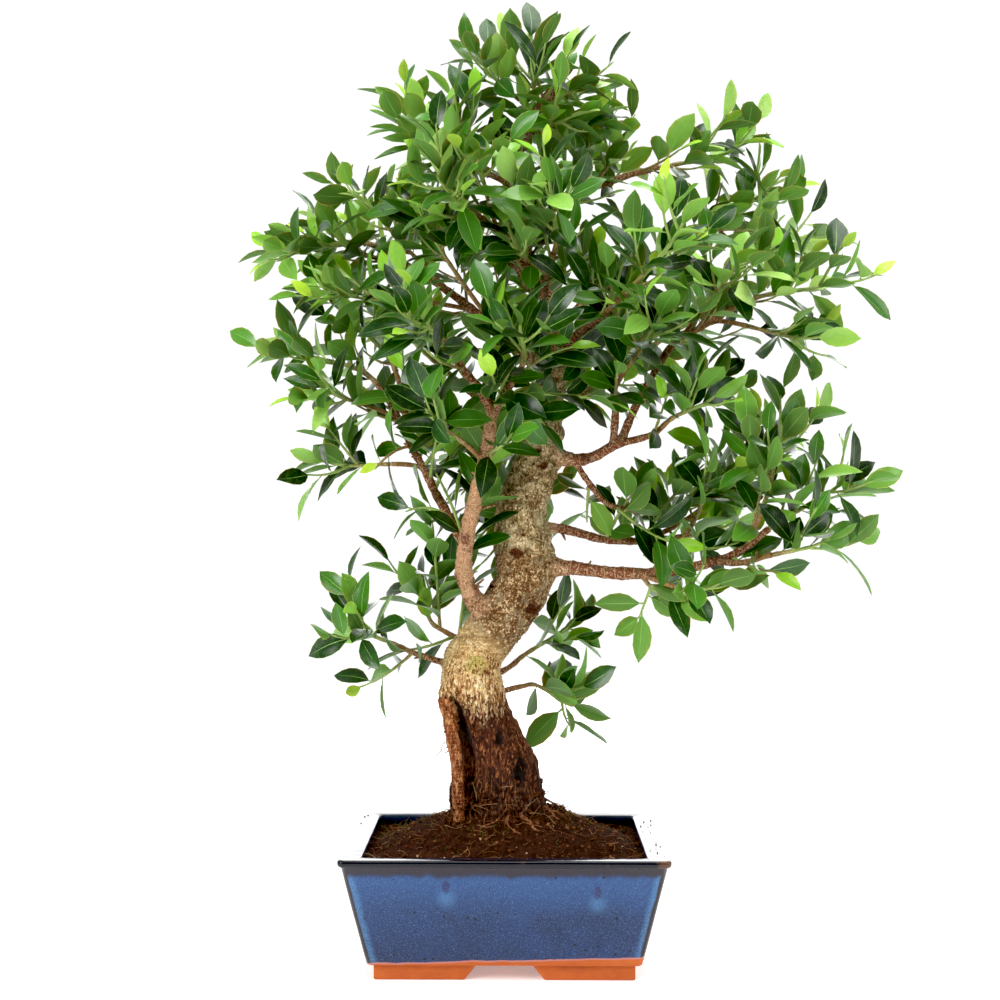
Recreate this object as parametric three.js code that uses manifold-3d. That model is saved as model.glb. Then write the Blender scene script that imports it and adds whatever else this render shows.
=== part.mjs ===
// Chinese banyan bonsai in its glazed pot. Millimetres, +Z up, the camera side of the pot faces -Y.
// The tree is laid out around the middle of the pot's base, and at the end the whole object is moved so
// that the origin is the bottom centre of its bounding box.
import * as THREE from 'three';
import { mergeGeometries, mergeVertices } from 'three/addons/utils/BufferGeometryUtils.js';
import Module from 'manifold-3d';

const wasm = await Module();
wasm.setup();

// Pot
const rimLength = 300;
const rimDepth = 220;
const potHeight = 115.4;
const wallLean = 23; // how far each wall leans out from its foot to its top
const footHeight = 14.8;
const footInset = 6;
const footWidth = 16;
const lipBand = 6; // height of the thick edge round the rim
const lipProud = 1.5;
const lipLean = 0.5;
const openingLength = 258;
const openingDepth = 186;
const lipThickness = 8;
const wallThickness = 9;
const floorThickness = 9.2;
const longGap = { top: 48, bottom: 73 }; // cut-out between the feet, front and back
const shortGap = { top: 34, bottom: 52 }; // cut-out between the feet, left and right
const drainDiameter = 18;
const drainSpacing = 124;
const screenSize = 34;
const screenThickness = 1.2;
const screenSlots = 3;

// Soil
const soilBelowRim = 10.4;
const moundHeight = 36;
const moundLength = 256;
const moundDepth = 180;

// Clearances
const fitGap = 0.3;
const rootGap = 0.5; // soil to trunk and roots
const shootGap = 0.5; // green shoot to the wood that it grows on
const leafClearance = 0.45; // leaf or side shoot to everything outside its own spray
const sliver = 0.2; // the largest sliver that is cleared away after a join

// Shoots
const woodShare = 0.32; // the part of a side twig that has turned to wood
const twigRadius = 2.3;
const woodyTwigGain = 1.08; // how much thicker the woody part of a twig is
const shootTaper = 0.55; // a shoot's radius at its tip, as a share of that at its base
const mainShootSteps = 3;
const shootUpturn = 0.35;
const sideShootRadius = 1.6;
const sideShootSteps = 2;
const sideShootPlaces = [0.33, 0.62];
const sideShootLength = { least: 38, spread: 16 };
const sideShootTurns = [0, 0.5, -0.5, 1, -1, 1.5, -1.5, 2.2, -2.2, 3.1];

// Leaves
const goldenAngle = 2.39996; // turn from one leaf to the next round a shoot
const leafLength = 47;
const leafWidth = 20.5;
const leafThickness = 1.4;
const leafFold = 0.3; // rise of the blade's edges above its rib, for each unit of width
const leafTurns = [0, 0.4, -0.4, 0.8, -0.8, 1.2, -1.2, 1.8, -1.8, 2.4, -2.4, 3.1];
const endLeafReach = 38; // how far the end leaf of a spray reaches past its shoot, once it has bent down
const leafSink = 0.05; // share of a shoot by which its end leaf starts back from the tip
const stalkRoot = 0.4; // how far a leaf stalk starts behind the middle of its shoot
const up = new THREE.Vector3(0, 0, 1);
const crownCentre = new THREE.Vector3(30, 10, 560);

// Seeds: every spray, side shoot and leaf has draws of its own
const drawFactor = 16807;
const drawRange = 2147483647;
const sprayStride = 7919;
const shootStride = 271;
const leafStride = 10473;
const firstLeafSeed = 17;

// Trunk: centre [x, y, z] and half width, from the cut taproot in the soil to the old cut under the crown
const trunkStations = [
  { at: [0, 0, 62], half: 20 },
  { at: [0, 0, 92], half: 35 },
  { at: [0, 0, 130], half: 39 },
  { at: [-1, 0, 170], half: 36 },
  { at: [-11, -1, 204], half: 31 },
  { at: [-24, -3, 233], half: 29.5 },
  { at: [-32, -5, 256], half: 30 },
  { at: [-33, -5, 276], half: 28 },
  { at: [-25, -3, 295], half: 26 },
  { at: [-11, -1, 314], half: 26 },
  { at: [3, 1, 334], half: 27 },
  { at: [15, 4, 352], half: 26.5 },
  { at: [21, 6, 372], half: 28 },
  { at: [19, 6, 395], half: 27.5 },
  { at: [15, 5, 418], half: 25.5 },
  { at: [18, 4, 439], half: 23.5 },
  { at: [26, 2, 459], half: 22 },
  { at: [32, 1, 477], half: 21.5 },
  { at: [37, 0, 492], half: 21 },
  { at: [41, 1, 505], half: 13 },
];

// Limbs: each grows from inside the limb or trunk that its first point lies in. Radii at its start and end.
const limbTable = {
  leader: {
    radii: [13, 4.4],
    points: [[38, 1, 488], [42, 2, 520], [45, 4, 556], [49, 5, 592], [44, 4, 622], [30, 2, 642], [18, 0, 664],
      [17, 0, 690], [16, 0, 738], [11, -1, 770], [18, 0, 790], [27, 1, 806], [40, 3, 823], [63, 6, 859]],
  },
  frontLeft: {
    radii: [9.5, 5.4],
    points: [[-8, -2, 322], [-29, -11, 342], [-38, -20, 362], [-39, -25, 383], [-34, -30, 411],
      [-26, -38, 447], [-18, -46, 482], [-10, -55, 526]],
  },
  frontLeftFork: {
    radii: [4.6, 2.8],
    points: [[-11, -54, 520], [-21, -62, 537], [-35, -72, 554], [-46, -82, 572]],
  },
  frontRightFork: { radii: [4.6, 2.8], points: [[-11, -54, 520], [3, -66, 539], [15, -79, 558]] },
  leftBack: {
    radii: [4.8, 2.9],
    points: [[-37, -27, 392], [-51, -12, 417], [-66, 0, 443], [-79, 8, 469], [-95, 16, 498], [-109, 22, 525],
      [-125, 28, 550]],
  },
  leftBackFork: { radii: [3.4, 2.5], points: [[-97, 17, 503], [-99, 20, 536], [-107, 24, 562]] },
  leftUpper: {
    radii: [6, 3],
    points: [[45, 4, 548], [25, 16, 572], [0, 28, 598], [-35, 38, 628], [-75, 45, 658], [-128, 50, 690]],
  },
  leftTop: { radii: [3.6, 2.5], points: [[16, 0, 732], [0, -12, 742], [-20, -26, 753]] },
  rightUpper: { radii: [6.4, 4.4], points: [[38, 0, 484], [60, -8, 477], [84, -14, 479], [114, -25, 495]] },
  rightUpright: {
    radii: [3.9, 2.7],
    points: [[103, -21, 488], [104, -29, 522], [101, -37, 556], [101, -44, 586]],
  },
  rightSweep: {
    radii: [4.2, 2.7],
    points: [[110, -24, 493], [124, -21, 526], [135, -18, 547], [160, -20, 585], [186, -28, 601],
      [218, -37, 620]],
  },
  rightInner: { radii: [3.2, 2.4], points: [[110, -23, 492], [136, -36, 498], [152, -46, 511]] },
  rightUnder: { radii: [3, 2.3], points: [[66, -9, 476], [82, -5, 452], [100, 4, 434], [130, 10, 426]] },
  rightMid: {
    radii: [5.2, 3],
    points: [[25, 6, 408], [45, 8, 411], [68, 14, 407], [98, 22, 399], [134, 30, 398], [166, 36, 401]],
  },
  rightMidFork: { radii: [3, 2.4], points: [[138, 31, 398], [168, 46, 412], [204, 56, 434]] },
  rightLower: {
    radii: [7.4, 3],
    points: [[26, 2, 374], [52, 0, 373], [77, -6, 371], [105, -12, 368], [138, -20, 368], [170, -28, 373],
      [198, -34, 380], [223, -40, 392], [246, -46, 411]],
  },
  rightLowerFork: { radii: [3.3, 2.5], points: [[196, -33, 380], [220, -52, 380], [246, -63, 387]] },
  rightLowerDrop: { radii: [2.6, 2.2], points: [[128, -18, 368], [144, -31, 361], [158, -42, 357]] },
  rightLowerRise: { radii: [2.8, 2.3], points: [[150, -23, 369], [165, -18, 393], [176, -13, 410]] },
  lowLeftRise: { radii: [3.2, 2.4], points: [[-20, 6, 298], [-45, 16, 303], [-66, 22, 313]] },
  lowLeft: { radii: [3.2, 2.4], points: [[-30, 0, 274], [-60, 0, 281], [-84, -2, 289], [-102, -8, 298]] },
  lowRightRise: { radii: [3, 2.4], points: [[-14, 6, 268], [0, 26, 271], [12, 36, 280]] },
  lowRight: { radii: [3, 2.4], points: [[-12, 6, 250], [6, 24, 253], [22, 32, 256]] },
  back: { radii: [5.8, 3], points: [[42, 6, 518], [42, 40, 540], [38, 75, 572], [34, 106, 606]] },
  backLeft: { radii: [5.4, 3], points: [[30, 4, 472], [8, 38, 502], [-25, 75, 538], [-56, 103, 566]] },
  backRight: { radii: [5.8, 3], points: [[41, 4, 508], [70, 40, 536], [110, 80, 566], [150, 108, 596]] },
  backLow: { radii: [4.4, 2.7], points: [[16, 8, 430], [13, 45, 432], [6, 82, 442]] },
  frontRight: { radii: [4.8, 2.7], points: [[48, 4, 578], [66, -28, 592], [90, -58, 608], [106, -78, 622]] },
  frontMiddle: { radii: [3.8, 2.6], points: [[37, 3, 632], [40, -30, 647], [46, -62, 666]] },
  rightTop: {
    radii: [4.4, 2.6],
    points: [[17, 0, 700], [45, 13, 720], [82, 24, 742], [122, 32, 758], [152, 36, 766]],
  },
  right: {
    radii: [5, 2.8],
    points: [[49, 5, 598], [80, 28, 634], [118, 45, 664], [165, 58, 692], [202, 65, 707]],
  },
  backLeftTop: { radii: [4.2, 2.6], points: [[19, 0, 661], [-10, 38, 680], [-38, 72, 697]] },
  backTop: { radii: [3.5, 2.5], points: [[17, 0, 722], [24, 38, 740], [34, 64, 754]] },
  frontLeftTop: { radii: [3.6, 2.6], points: [[17, 0, 682], [-4, -35, 690], [-24, -62, 700]] },
};

// Roots: the aerial root and the lobes beside the trunk show, the others lie in the soil
const rootTable = [
  {
    radii: [7, 8],
    points: [[-42, -8, 268], [-53, -15, 247], [-52, -22, 226], [-47, -26, 194], [-44, -26, 160],
      [-45, -27, 100]],
  },
  { radii: [8, 13], points: [[2, -8, 218], [18, -12, 192], [27, -12, 164], [30, -12, 100]] },
  { radii: [8, 12], points: [[-28, 14, 208], [-32, 18, 172], [-34, 20, 100]] },
  { radii: [14, 6], points: [[20, -6, 112], [62, -22, 94], [98, -44, 74]] },
  { radii: [13, 5], points: [[-20, -8, 110], [-60, -24, 92], [-92, -46, 70]] },
  { radii: [13, 6], points: [[-18, 10, 108], [-56, 30, 90], [-84, 52, 72]] },
  { radii: [13, 6], points: [[14, 12, 108], [48, 34, 88], [88, 54, 66]] },
];

// Sprays: the limb, how far along it (1 is its end), and the place that the spray's end leaf reaches
const sprayTable = [
  { limb: 'leader', along: 0.89, reach: [16, -26, 878] },
  { limb: 'leader', along: 0.93, reach: [104, 24, 846] },
  { limb: 'leader', along: 0.85, reach: [-42, -20, 874] },
  { limb: 'leader', along: 0.8, reach: [90, -46, 800] },
  { limb: 'leader', along: 0.77, reach: [24, 96, 838] },
  { limb: 'leftTop', along: 1, reach: [-70, -62, 824] },
  { limb: 'leftTop', along: 0.45, reach: [-128, -26, 800] },
  { limb: 'frontLeftTop', along: 1, reach: [-76, -152, 735] },
  { limb: 'frontLeftTop', along: 0.55, reach: [-30, -132, 770] },
  { limb: 'backTop', along: 1, reach: [104, 156, 806] },
  { limb: 'backLeftTop', along: 1, reach: [-132, 168, 765] },
  { limb: 'leftUpper', along: 1, reach: [-266, 44, 684] },
  { limb: 'leftUpper', along: 0.82, reach: [-222, 84, 726] },
  { limb: 'leftUpper', along: 0.7, reach: [-166, 22, 768] },
  { limb: 'leftUpper', along: 0.58, reach: [-212, -14, 648] },
  { limb: 'leftUpper', along: 0.45, reach: [-104, -34, 748] },
  { limb: 'leftBack', along: 1, reach: [-248, 54, 607] },
  { limb: 'leftBack', along: 0.78, reach: [-208, -24, 560] },
  { limb: 'leftBack', along: 0.5, reach: [-212, 4, 478] },
  { limb: 'leftBackFork', along: 1, reach: [-184, 78, 655] },
  { limb: 'frontLeft', along: 0.82, reach: [-96, -92, 542] },
  { limb: 'frontLeftFork', along: 1, reach: [-119, -146, 626] },
  { limb: 'frontRightFork', along: 1, reach: [14, -146, 616] },
  { limb: 'frontMiddle', along: 1, reach: [38, -152, 742] },
  { limb: 'frontMiddle', along: 0.55, reach: [-12, -122, 680] },
  { limb: 'frontRight', along: 1, reach: [176, -164, 700] },
  { limb: 'rightUpright', along: 1, reach: [126, -82, 682] },
  { limb: 'rightUpright', along: 0.5, reach: [156, -112, 628] },
  { limb: 'rightSweep', along: 1, reach: [348, -58, 652] },
  { limb: 'rightSweep', along: 0.86, reach: [322, -78, 580] },
  { limb: 'rightSweep', along: 0.64, reach: [240, -76, 694] },
  { limb: 'rightInner', along: 1, reach: [222, -82, 548] },
  { limb: 'rightUnder', along: 1, reach: [216, 24, 446] },
  { limb: 'rightMid', along: 1, reach: [262, 56, 424] },
  { limb: 'rightMidFork', along: 1, reach: [296, 82, 514] },
  { limb: 'rightLower', along: 1, reach: [346, -54, 476] },
  { limb: 'rightLower', along: 0.9, reach: [264, -78, 540] },
  { limb: 'rightLower', along: 0.46, reach: [168, 6, 326] },
  { limb: 'rightLowerFork', along: 1, reach: [326, -98, 412] },
  { limb: 'rightLowerDrop', along: 1, reach: [226, -90, 362] },
  { limb: 'rightLowerRise', along: 1, reach: [212, -22, 516] },
  { limb: 'rightTop', along: 1, reach: [264, 52, 796] },
  { limb: 'rightTop', along: 0.5, reach: [128, 44, 808] },
  { limb: 'right', along: 1, reach: [352, 84, 706] },
  { limb: 'right', along: 0.74, reach: [298, 110, 776] },
  { limb: 'back', along: 1, reach: [18, 204, 722] },
  { limb: 'backLeft', along: 1, reach: [-152, 188, 670] },
  { limb: 'backRight', along: 1, reach: [254, 188, 694] },
  { limb: 'backRight', along: 0.6, reach: [112, 178, 694] },
  { limb: 'backLow', along: 1, reach: [-50, 196, 522] },
  { limb: 'lowLeftRise', along: 1, reach: [-92, 50, 392] },
  { limb: 'lowLeft', along: 1, reach: [-180, -30, 334] },
  { limb: 'lowRightRise', along: 1, reach: [98, 60, 338] },
  { limb: 'lowRight', along: 1, reach: [98, 54, 220] },
];

// Leaf places on a spray: which shoot (0 is the main one) and how far along it
const leafPlaces = [
  { shoot: 0, along: 0.33 },
  { shoot: 0, along: 0.67 },
  { shoot: 0, along: 1 },
  { shoot: 1, along: 1 },
  { shoot: 2, along: 1 },
  { shoot: 1, along: 0.5 },
];

function vector(list) {
  return new THREE.Vector3(...list);
}

function mix(a, b, share) {
  return a + (b - a) * share;
}

// Seeded draws between 0 and 1
function drawsFrom(seed) {
  let state = (seed % (drawRange - 1)) + 1;
  function next() {
    state = (state * drawFactor) % drawRange;
    return state / drawRange;
  }
  next();
  next();
  return next;
}

// Closed geometry with its shared vertices merged, as a solid to join and cut
function solidFrom(geometry) {
  const bare = geometry.clone();
  bare.deleteAttribute('normal');
  bare.deleteAttribute('uv');
  const merged = mergeVertices(bare, 1e-3);
  const index = merged.getIndex().array;
  const triangles = [];
  for (let i = 0; i < index.length; i += 3) {
    const [a, b, c] = [index[i], index[i + 1], index[i + 2]];
    if (a !== b && b !== c && c !== a) {
      triangles.push(a, b, c);
    }
  }
  const mesh = new wasm.Mesh({
    numProp: 3,
    vertProperties: new Float32Array(merged.getAttribute('position').array),
    triVerts: new Uint32Array(triangles),
  });
  return new wasm.Manifold(mesh);
}

function geometryFrom(solid) {
  const mesh = solid.getMesh();
  const geometry = new THREE.BufferGeometry();
  geometry.setAttribute('position', new THREE.BufferAttribute(new Float32Array(mesh.vertProperties), 3));
  geometry.setIndex(new THREE.BufferAttribute(new Uint32Array(mesh.triVerts), 1));
  geometry.computeVertexNormals();
  return geometry;
}

// Joined solids, without the slivers that a join leaves where two faces nearly meet
function join(solids) {
  return wasm.Manifold.union(solids).asOriginal().simplify(sliver);
}

// A unit box with its upper and lower rectangles set apart
function taperedBox(lower, upper, bottom, top) {
  const box = new THREE.BoxGeometry(1, 1, 1);
  const points = box.getAttribute('position');
  for (let i = 0; i < points.count; i += 1) {
    const size = points.getZ(i) > 0 ? upper : lower;
    const height = points.getZ(i) > 0 ? top : bottom;
    points.setXYZ(i, points.getX(i) * size[0], points.getY(i) * size[1], height);
  }
  return solidFrom(box);
}

// Steady frames along a curve: a centre, a direction and two square-on directions for each step
function framesAlong(curve, steps, from, to) {
  const frames = [];
  let across = new THREE.Vector3(1, 0, 0);
  for (let step = 0; step <= steps; step += 1) {
    const at = mix(from, to, step / steps);
    const along = curve.getTangent(at);
    if (Math.abs(across.dot(along)) > 0.9) {
      across = new THREE.Vector3(0, 1, 0);
    }
    across = across.clone().addScaledVector(along, -across.dot(along)).normalize();
    const square = new THREE.Vector3().crossVectors(across, along);
    frames.push({ centre: curve.getPoint(at), across, square });
  }
  return frames;
}

// A cylinder bent along a curve. radiusAt takes the share of the length and the angle round the curve.
function tube(curve, radiusAt, { sides, steps, from = 0, to = 1 }) {
  const frames = framesAlong(curve, steps, from, to);
  const cylinder = new THREE.CylinderGeometry(1, 1, 1, sides, steps);
  const points = cylinder.getAttribute('position');
  for (let i = 0; i < points.count; i += 1) {
    const share = points.getY(i) + 0.5;
    const frame = frames[Math.round(share * steps)];
    const angle = Math.atan2(points.getZ(i), points.getX(i));
    const radius = Math.hypot(points.getX(i), points.getZ(i)) * radiusAt(share, angle);
    const place = frame.centre.clone();
    place.addScaledVector(frame.across, radius * Math.cos(angle));
    place.addScaledVector(frame.square, radius * Math.sin(angle));
    points.setXYZ(i, place.x, place.y, place.z);
  }
  return solidFrom(cylinder);
}

function curveThrough(points) {
  return new THREE.CatmullRomCurve3(points.map(vector), false, 'catmullrom', 0.5);
}

// A direction square to a shoot, turned round it by an angle from the level
function aroundShoot(along, angle) {
  const level = new THREE.Vector3().crossVectors(along, up);
  if (level.length() < 0.15) {
    level.set(1, 0, 0);
  }
  level.normalize();
  const raised = new THREE.Vector3().crossVectors(level, along).normalize();
  return level.multiplyScalar(Math.cos(angle)).addScaledVector(raised, Math.sin(angle));
}

function makePot() {
  const bottomLength = rimLength - 2 * (lipProud + wallLean);
  const bottomDepth = rimDepth - 2 * (lipProud + wallLean);
  const topLength = rimLength - 2 * lipProud;
  const topDepth = rimDepth - 2 * lipProud;
  const wallHeight = potHeight - footHeight;
  const floorTop = footHeight + floorThickness;
  const leanAt = (height) => (wallLean * (height - footHeight)) / wallHeight;
  const inside = (height) => [
    bottomLength + 2 * (leanAt(height) - wallThickness),
    bottomDepth + 2 * (leanAt(height) - wallThickness),
  ];
  const lipUnderside = potHeight - lipThickness;

  const body = taperedBox([bottomLength, bottomDepth], [topLength, topDepth], footHeight, potHeight);
  const lipFoot = [rimLength - 2 * lipLean, rimDepth - 2 * lipLean];
  const lip = taperedBox(lipFoot, [rimLength, rimDepth], potHeight - lipBand, potHeight);
  const hollow = taperedBox(inside(floorTop), inside(lipUnderside), floorTop, lipUnderside);
  const opening = taperedBox(
    [openingLength, openingDepth],
    [openingLength, openingDepth],
    lipUnderside - 1,
    potHeight + 1,
  );

  const footLength = bottomLength - 2 * footInset;
  const footDepth = bottomDepth - 2 * footInset;
  const ringOutside = taperedBox([footLength, footDepth], [footLength, footDepth], 0, footHeight + 1);
  const ringInside = taperedBox(
    [footLength - 2 * footWidth, footDepth - 2 * footWidth],
    [footLength - 2 * footWidth, footDepth - 2 * footWidth],
    -1,
    footHeight,
  );
  const longCut = taperedBox([longGap.bottom, rimDepth], [longGap.top, rimDepth], -0.5, footHeight);
  const shortCut = taperedBox([rimLength, shortGap.bottom], [rimLength, shortGap.top], -0.5, footHeight);
  const feet = ringOutside.subtract(ringInside).subtract(longCut).subtract(shortCut);

  let pot = join([body, lip, feet]).subtract(hollow).subtract(opening);
  for (const side of [-1, 1]) {
    const drill = new THREE.CylinderGeometry(drainDiameter / 2, drainDiameter / 2, floorTop * 2, 16);
    drill.rotateX(Math.PI / 2);
    drill.translate((side * drainSpacing) / 2, 0, floorTop);
    pot = pot.subtract(solidFrom(drill));
  }
  return { solid: pot, floorTop, inside, lipUnderside };
}

// A slotted plastic screen over a drainage hole
function makeScreen(side, floorTop) {
  const middle = (side * drainSpacing) / 2;
  const plate = new THREE.BoxGeometry(screenSize, screenSize, screenThickness);
  plate.translate(middle, 0, floorTop + fitGap + screenThickness / 2);
  let screen = solidFrom(plate);
  const pitch = screenSize / (screenSlots + 1);
  for (let slot = 1; slot <= screenSlots; slot += 1) {
    const cut = new THREE.BoxGeometry(pitch * 0.4, screenSize * 0.7, screenThickness * 4);
    cut.translate(middle - screenSize / 2 + slot * pitch, 0, floorTop + fitGap);
    screen = screen.subtract(solidFrom(cut));
  }
  return screen;
}

function soilTop(x, y) {
  const reach = Math.hypot((2 * x) / moundLength, (2 * y) / moundDepth);
  const mound = moundHeight * Math.max(0, 1 - reach * reach);
  const lumps = 1.6 * Math.sin(x / 17 + y / 29) + 1.3 * Math.cos(y / 13 - x / 37);
  return potHeight - soilBelowRim + mound + lumps * (mound / moundHeight);
}

// Grid lines of the soil: the outermost cells are the strip that lies under the pot's lip
function soilLine(value, cells, opening, wall) {
  const share = 2 * Math.abs(value);
  const lastInner = (cells - 2) / cells;
  const outer = wall / 2 - fitGap;
  const inner = Math.min(opening / 2, outer * 0.93);
  return Math.sign(value) * (share > lastInner + 0.01 ? outer : (share / lastInner) * inner);
}

function makeSoil(pot, roots) {
  const bottom = pot.floorTop + fitGap;
  const cells = [8, 6];
  const block = new THREE.BoxGeometry(1, 1, 1, cells[0], cells[1], 1);
  const points = block.getAttribute('position');
  for (let i = 0; i < points.count; i += 1) {
    const atTop = points.getZ(i) > 0;
    const size = pot.inside(atTop ? potHeight - soilBelowRim : bottom);
    const x = soilLine(points.getX(i), cells[0], openingLength, size[0]);
    const y = soilLine(points.getY(i), cells[1], openingDepth, size[1]);
    points.setXYZ(i, x, y, atTop ? soilTop(x, y) : bottom);
  }
  let soil = solidFrom(block);
  for (const side of [-1, 1]) {
    const room = screenSize + 2 * fitGap;
    const depth = 2 * (screenThickness + 2 * fitGap);
    const pocket = new THREE.BoxGeometry(room, room, depth);
    pocket.translate((side * drainSpacing) / 2, 0, pot.floorTop);
    soil = soil.subtract(solidFrom(pocket));
  }
  return soil.subtract(roots).asOriginal().simplify(sliver);
}

// The trunk is a little flatter from front to back, with shallow ridges that wind round it
function makeTrunk(grown) {
  const curve = curveThrough(trunkStations.map((station) => station.at));
  const last = trunkStations.length - 1;
  const radiusAt = (share, angle) => {
    const place = share * last;
    const lower = Math.min(Math.floor(place), last - 1);
    const half = mix(trunkStations[lower].half, trunkStations[lower + 1].half, place - lower);
    const flat = 1 - 0.1 * Math.sin(angle) ** 2;
    const ridges = 0.045 * Math.cos(3 * angle + 9 * share) + 0.03 * Math.cos(5 * angle - 14 * share);
    return half * flat * (1 + ridges) + grown;
  };
  return tube(curve, radiusAt, { sides: 12, steps: last });
}

function makeRoots(grown) {
  return rootTable.map((root) => {
    const radiusAt = (share) => mix(root.radii[0], root.radii[1], share) + grown;
    return tube(curveThrough(root.points), radiusAt, { sides: 5, steps: root.points.length - 1 });
  });
}

function limbCurve(name) {
  return curveThrough(limbTable[name].points);
}

function limbRadius(name, share) {
  const [start, end] = limbTable[name].radii;
  return mix(start, end, share);
}

function makeLimb(name) {
  const limb = limbTable[name];
  const steps = limb.points.length - 1;
  const sides = limb.radii[0] > 7 ? 6 : 4;
  return tube(limbCurve(name), (share) => limbRadius(name, share), { sides, steps });
}

// The main shoot leaves its limb forwards, runs towards the place that its end leaf reaches, and turns up
function mainShoot(row) {
  const limb = limbCurve(row.limb);
  const start = limb.getPoint(row.along);
  const outermost = vector(row.reach);
  const towards = outermost.clone().sub(start).normalize();
  const tip = outermost.addScaledVector(towards, -endLeafReach);
  const reach = tip.distanceTo(start);
  const leaving = limb.getTangent(row.along);
  if (row.along < 1) {
    leaving.multiplyScalar(0.35).add(towards).normalize();
  }
  const arriving = towards.clone().addScaledVector(up, shootUpturn).normalize();
  const curve = new THREE.CubicBezierCurve3(
    start,
    start.clone().addScaledVector(leaving, reach * 0.35),
    tip.clone().addScaledVector(arriving, -reach * 0.3),
    tip,
  );
  const from = row.along < 1 ? woodShare : 0;
  const radius = row.along < 1 ? twigRadius : limbRadius(row.limb, 1);
  return { curve, from, radius, reach, steps: mainShootSteps };
}

// Side shoots leave the main one on changing sides
function sideShoot(main, number, draw, turn) {
  const at = mix(main.from, 1, sideShootPlaces[number - 1]);
  const start = onShoot(main, at);
  const along = main.curve.getTangent(at);
  const angle = draw() * 0.8 + (number - 1) * Math.PI + turn;
  const length = sideShootLength.least + sideShootLength.spread * draw();
  const leaving = aroundShoot(along, angle).multiplyScalar(0.8).addScaledVector(along, 0.6).normalize();
  const middle = start.clone().addScaledVector(leaving, length * 0.5);
  const tip = start.clone().addScaledVector(leaving, length * 0.9);
  tip.addScaledVector(up, length * 0.22).addScaledVector(along, length * 0.12);
  const curve = new THREE.QuadraticBezierCurve3(start, middle, tip);
  return { curve, from: 0, radius: sideShootRadius, reach: length, steps: sideShootSteps };
}

// The middle of a shoot's straight-sided stem, which cuts the corners of its curve a little
function onShoot(shoot, at) {
  const place = ((at - shoot.from) / (1 - shoot.from)) * shoot.steps;
  const lower = Math.min(Math.floor(place), shoot.steps - 1);
  const [start, end] = [lower, lower + 1].map((ring) => (
    shoot.curve.getPoint(mix(shoot.from, 1, ring / shoot.steps))
  ));
  return start.lerp(end, place - lower);
}

// Where a leaf sits on its shoot, and which way it and its upper face point
function leafPose(shoot, place, number, draw, turn) {
  const at = mix(shoot.from, 1, place.along * (1 - leafSink));
  const along = shoot.curve.getTangent(at);
  const angle = number * goldenAngle + draw() * 0.5 + turn;
  const opening = mix(1.15, 0.3, place.along ** 2) + (draw() - 0.5) * 0.3;
  const side = aroundShoot(along, angle);
  const outward = shoot.curve.getPoint(at).sub(crownCentre).normalize();
  const pointing = along.clone().multiplyScalar(Math.cos(opening));
  pointing.addScaledVector(side, Math.sin(opening)).addScaledVector(up, 0.12).normalize();
  const facing = up.clone().multiplyScalar(0.45).addScaledVector(outward, 0.6);
  facing.addScaledVector(new THREE.Vector3(draw() - 0.5, draw() - 0.62, draw() - 0.5), 1.5);
  facing.addScaledVector(pointing, -facing.dot(pointing)).normalize();
  const base = onShoot(shoot, at).addScaledVector(pointing, -stalkRoot);
  const size = mix(1.06, 0.84, place.along ** 3) * (0.88 + 0.28 * draw());
  return { base, pointing, facing, size, droop: 0.08 + 0.14 * draw() };
}

// A leaf: a pointed blade that narrows to its stalk, folded along its rib, with its tip bent down.
// Both faces are one grid of cells and share their rim, so they never cross.
const leafStations = [
  { along: 0, half: 0 },
  { along: 0.44, half: 0.96 },
  { along: 0.74, half: 0.74 },
  { along: 1, half: 0 },
];

function makeLeaf(pose, grown) {
  const length = leafLength * pose.size + 2 * grown;
  const half = (leafWidth / 2) * pose.size;
  const width = new THREE.Vector3().crossVectors(pose.pointing, pose.facing);
  const start = pose.base.clone().addScaledVector(pose.pointing, -grown);
  const rows = leafStations.length - 1;
  const faces = [1, -1].map((face) => {
    const sheet = new THREE.PlaneGeometry(2, 1, 2, rows);
    const points = sheet.getAttribute('position');
    for (let i = 0; i < points.count; i += 1) {
      const station = leafStations[Math.round((0.5 - points.getY(i)) * rows)];
      const across = points.getX(i);
      const spread = across * (station.half * half + (station.half > 0 ? grown : 0));
      const thick = station.half > 0 ? (1 - Math.abs(across)) * (leafThickness / 2 + grown) : 0;
      const fold = Math.abs(spread) * leafFold;
      const sag = pose.droop * length * station.along ** 2;
      const place = start.clone().addScaledVector(pose.pointing, station.along * length);
      place.addScaledVector(width, spread);
      place.addScaledVector(pose.facing, fold - sag + face * thick);
      points.setXYZ(i, place.x, place.y, place.z);
    }
    if (face > 0) {
      const index = sheet.getIndex();
      for (let i = 0; i < index.count; i += 3) {
        const second = index.getX(i + 1);
        index.setX(i + 1, index.getX(i + 2));
        index.setX(i + 2, second);
      }
    }
    return sheet;
  });
  return solidFrom(mergeGeometries(faces));
}

// Everything placed so far, so that a new stem or leaf can be turned clear of it
const placed = [];

function addPlaced(owner, solid) {
  placed.push({ owner, solid, box: solid.boundingBox() });
}

function boxesMeet(a, b) {
  return [0, 1, 2].every((axis) => a.min[axis] <= b.max[axis] && b.min[axis] <= a.max[axis]);
}

function meetsAny(solid, others) {
  return others.some((other) => !solid.intersect(other).isEmpty());
}

function meetsOthers(solid, owner) {
  const box = solid.boundingBox();
  const near = placed.filter((other) => other.owner !== owner && boxesMeet(box, other.box));
  return meetsAny(solid, near.map((other) => other.solid));
}

function shootSolid(shoot, grown) {
  const radiusAt = (share) => shoot.radius * mix(1, shootTaper, share) + grown;
  return tube(shoot.curve, radiusAt, { sides: 3, steps: shoot.steps, from: shoot.from, to: 1 });
}

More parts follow.
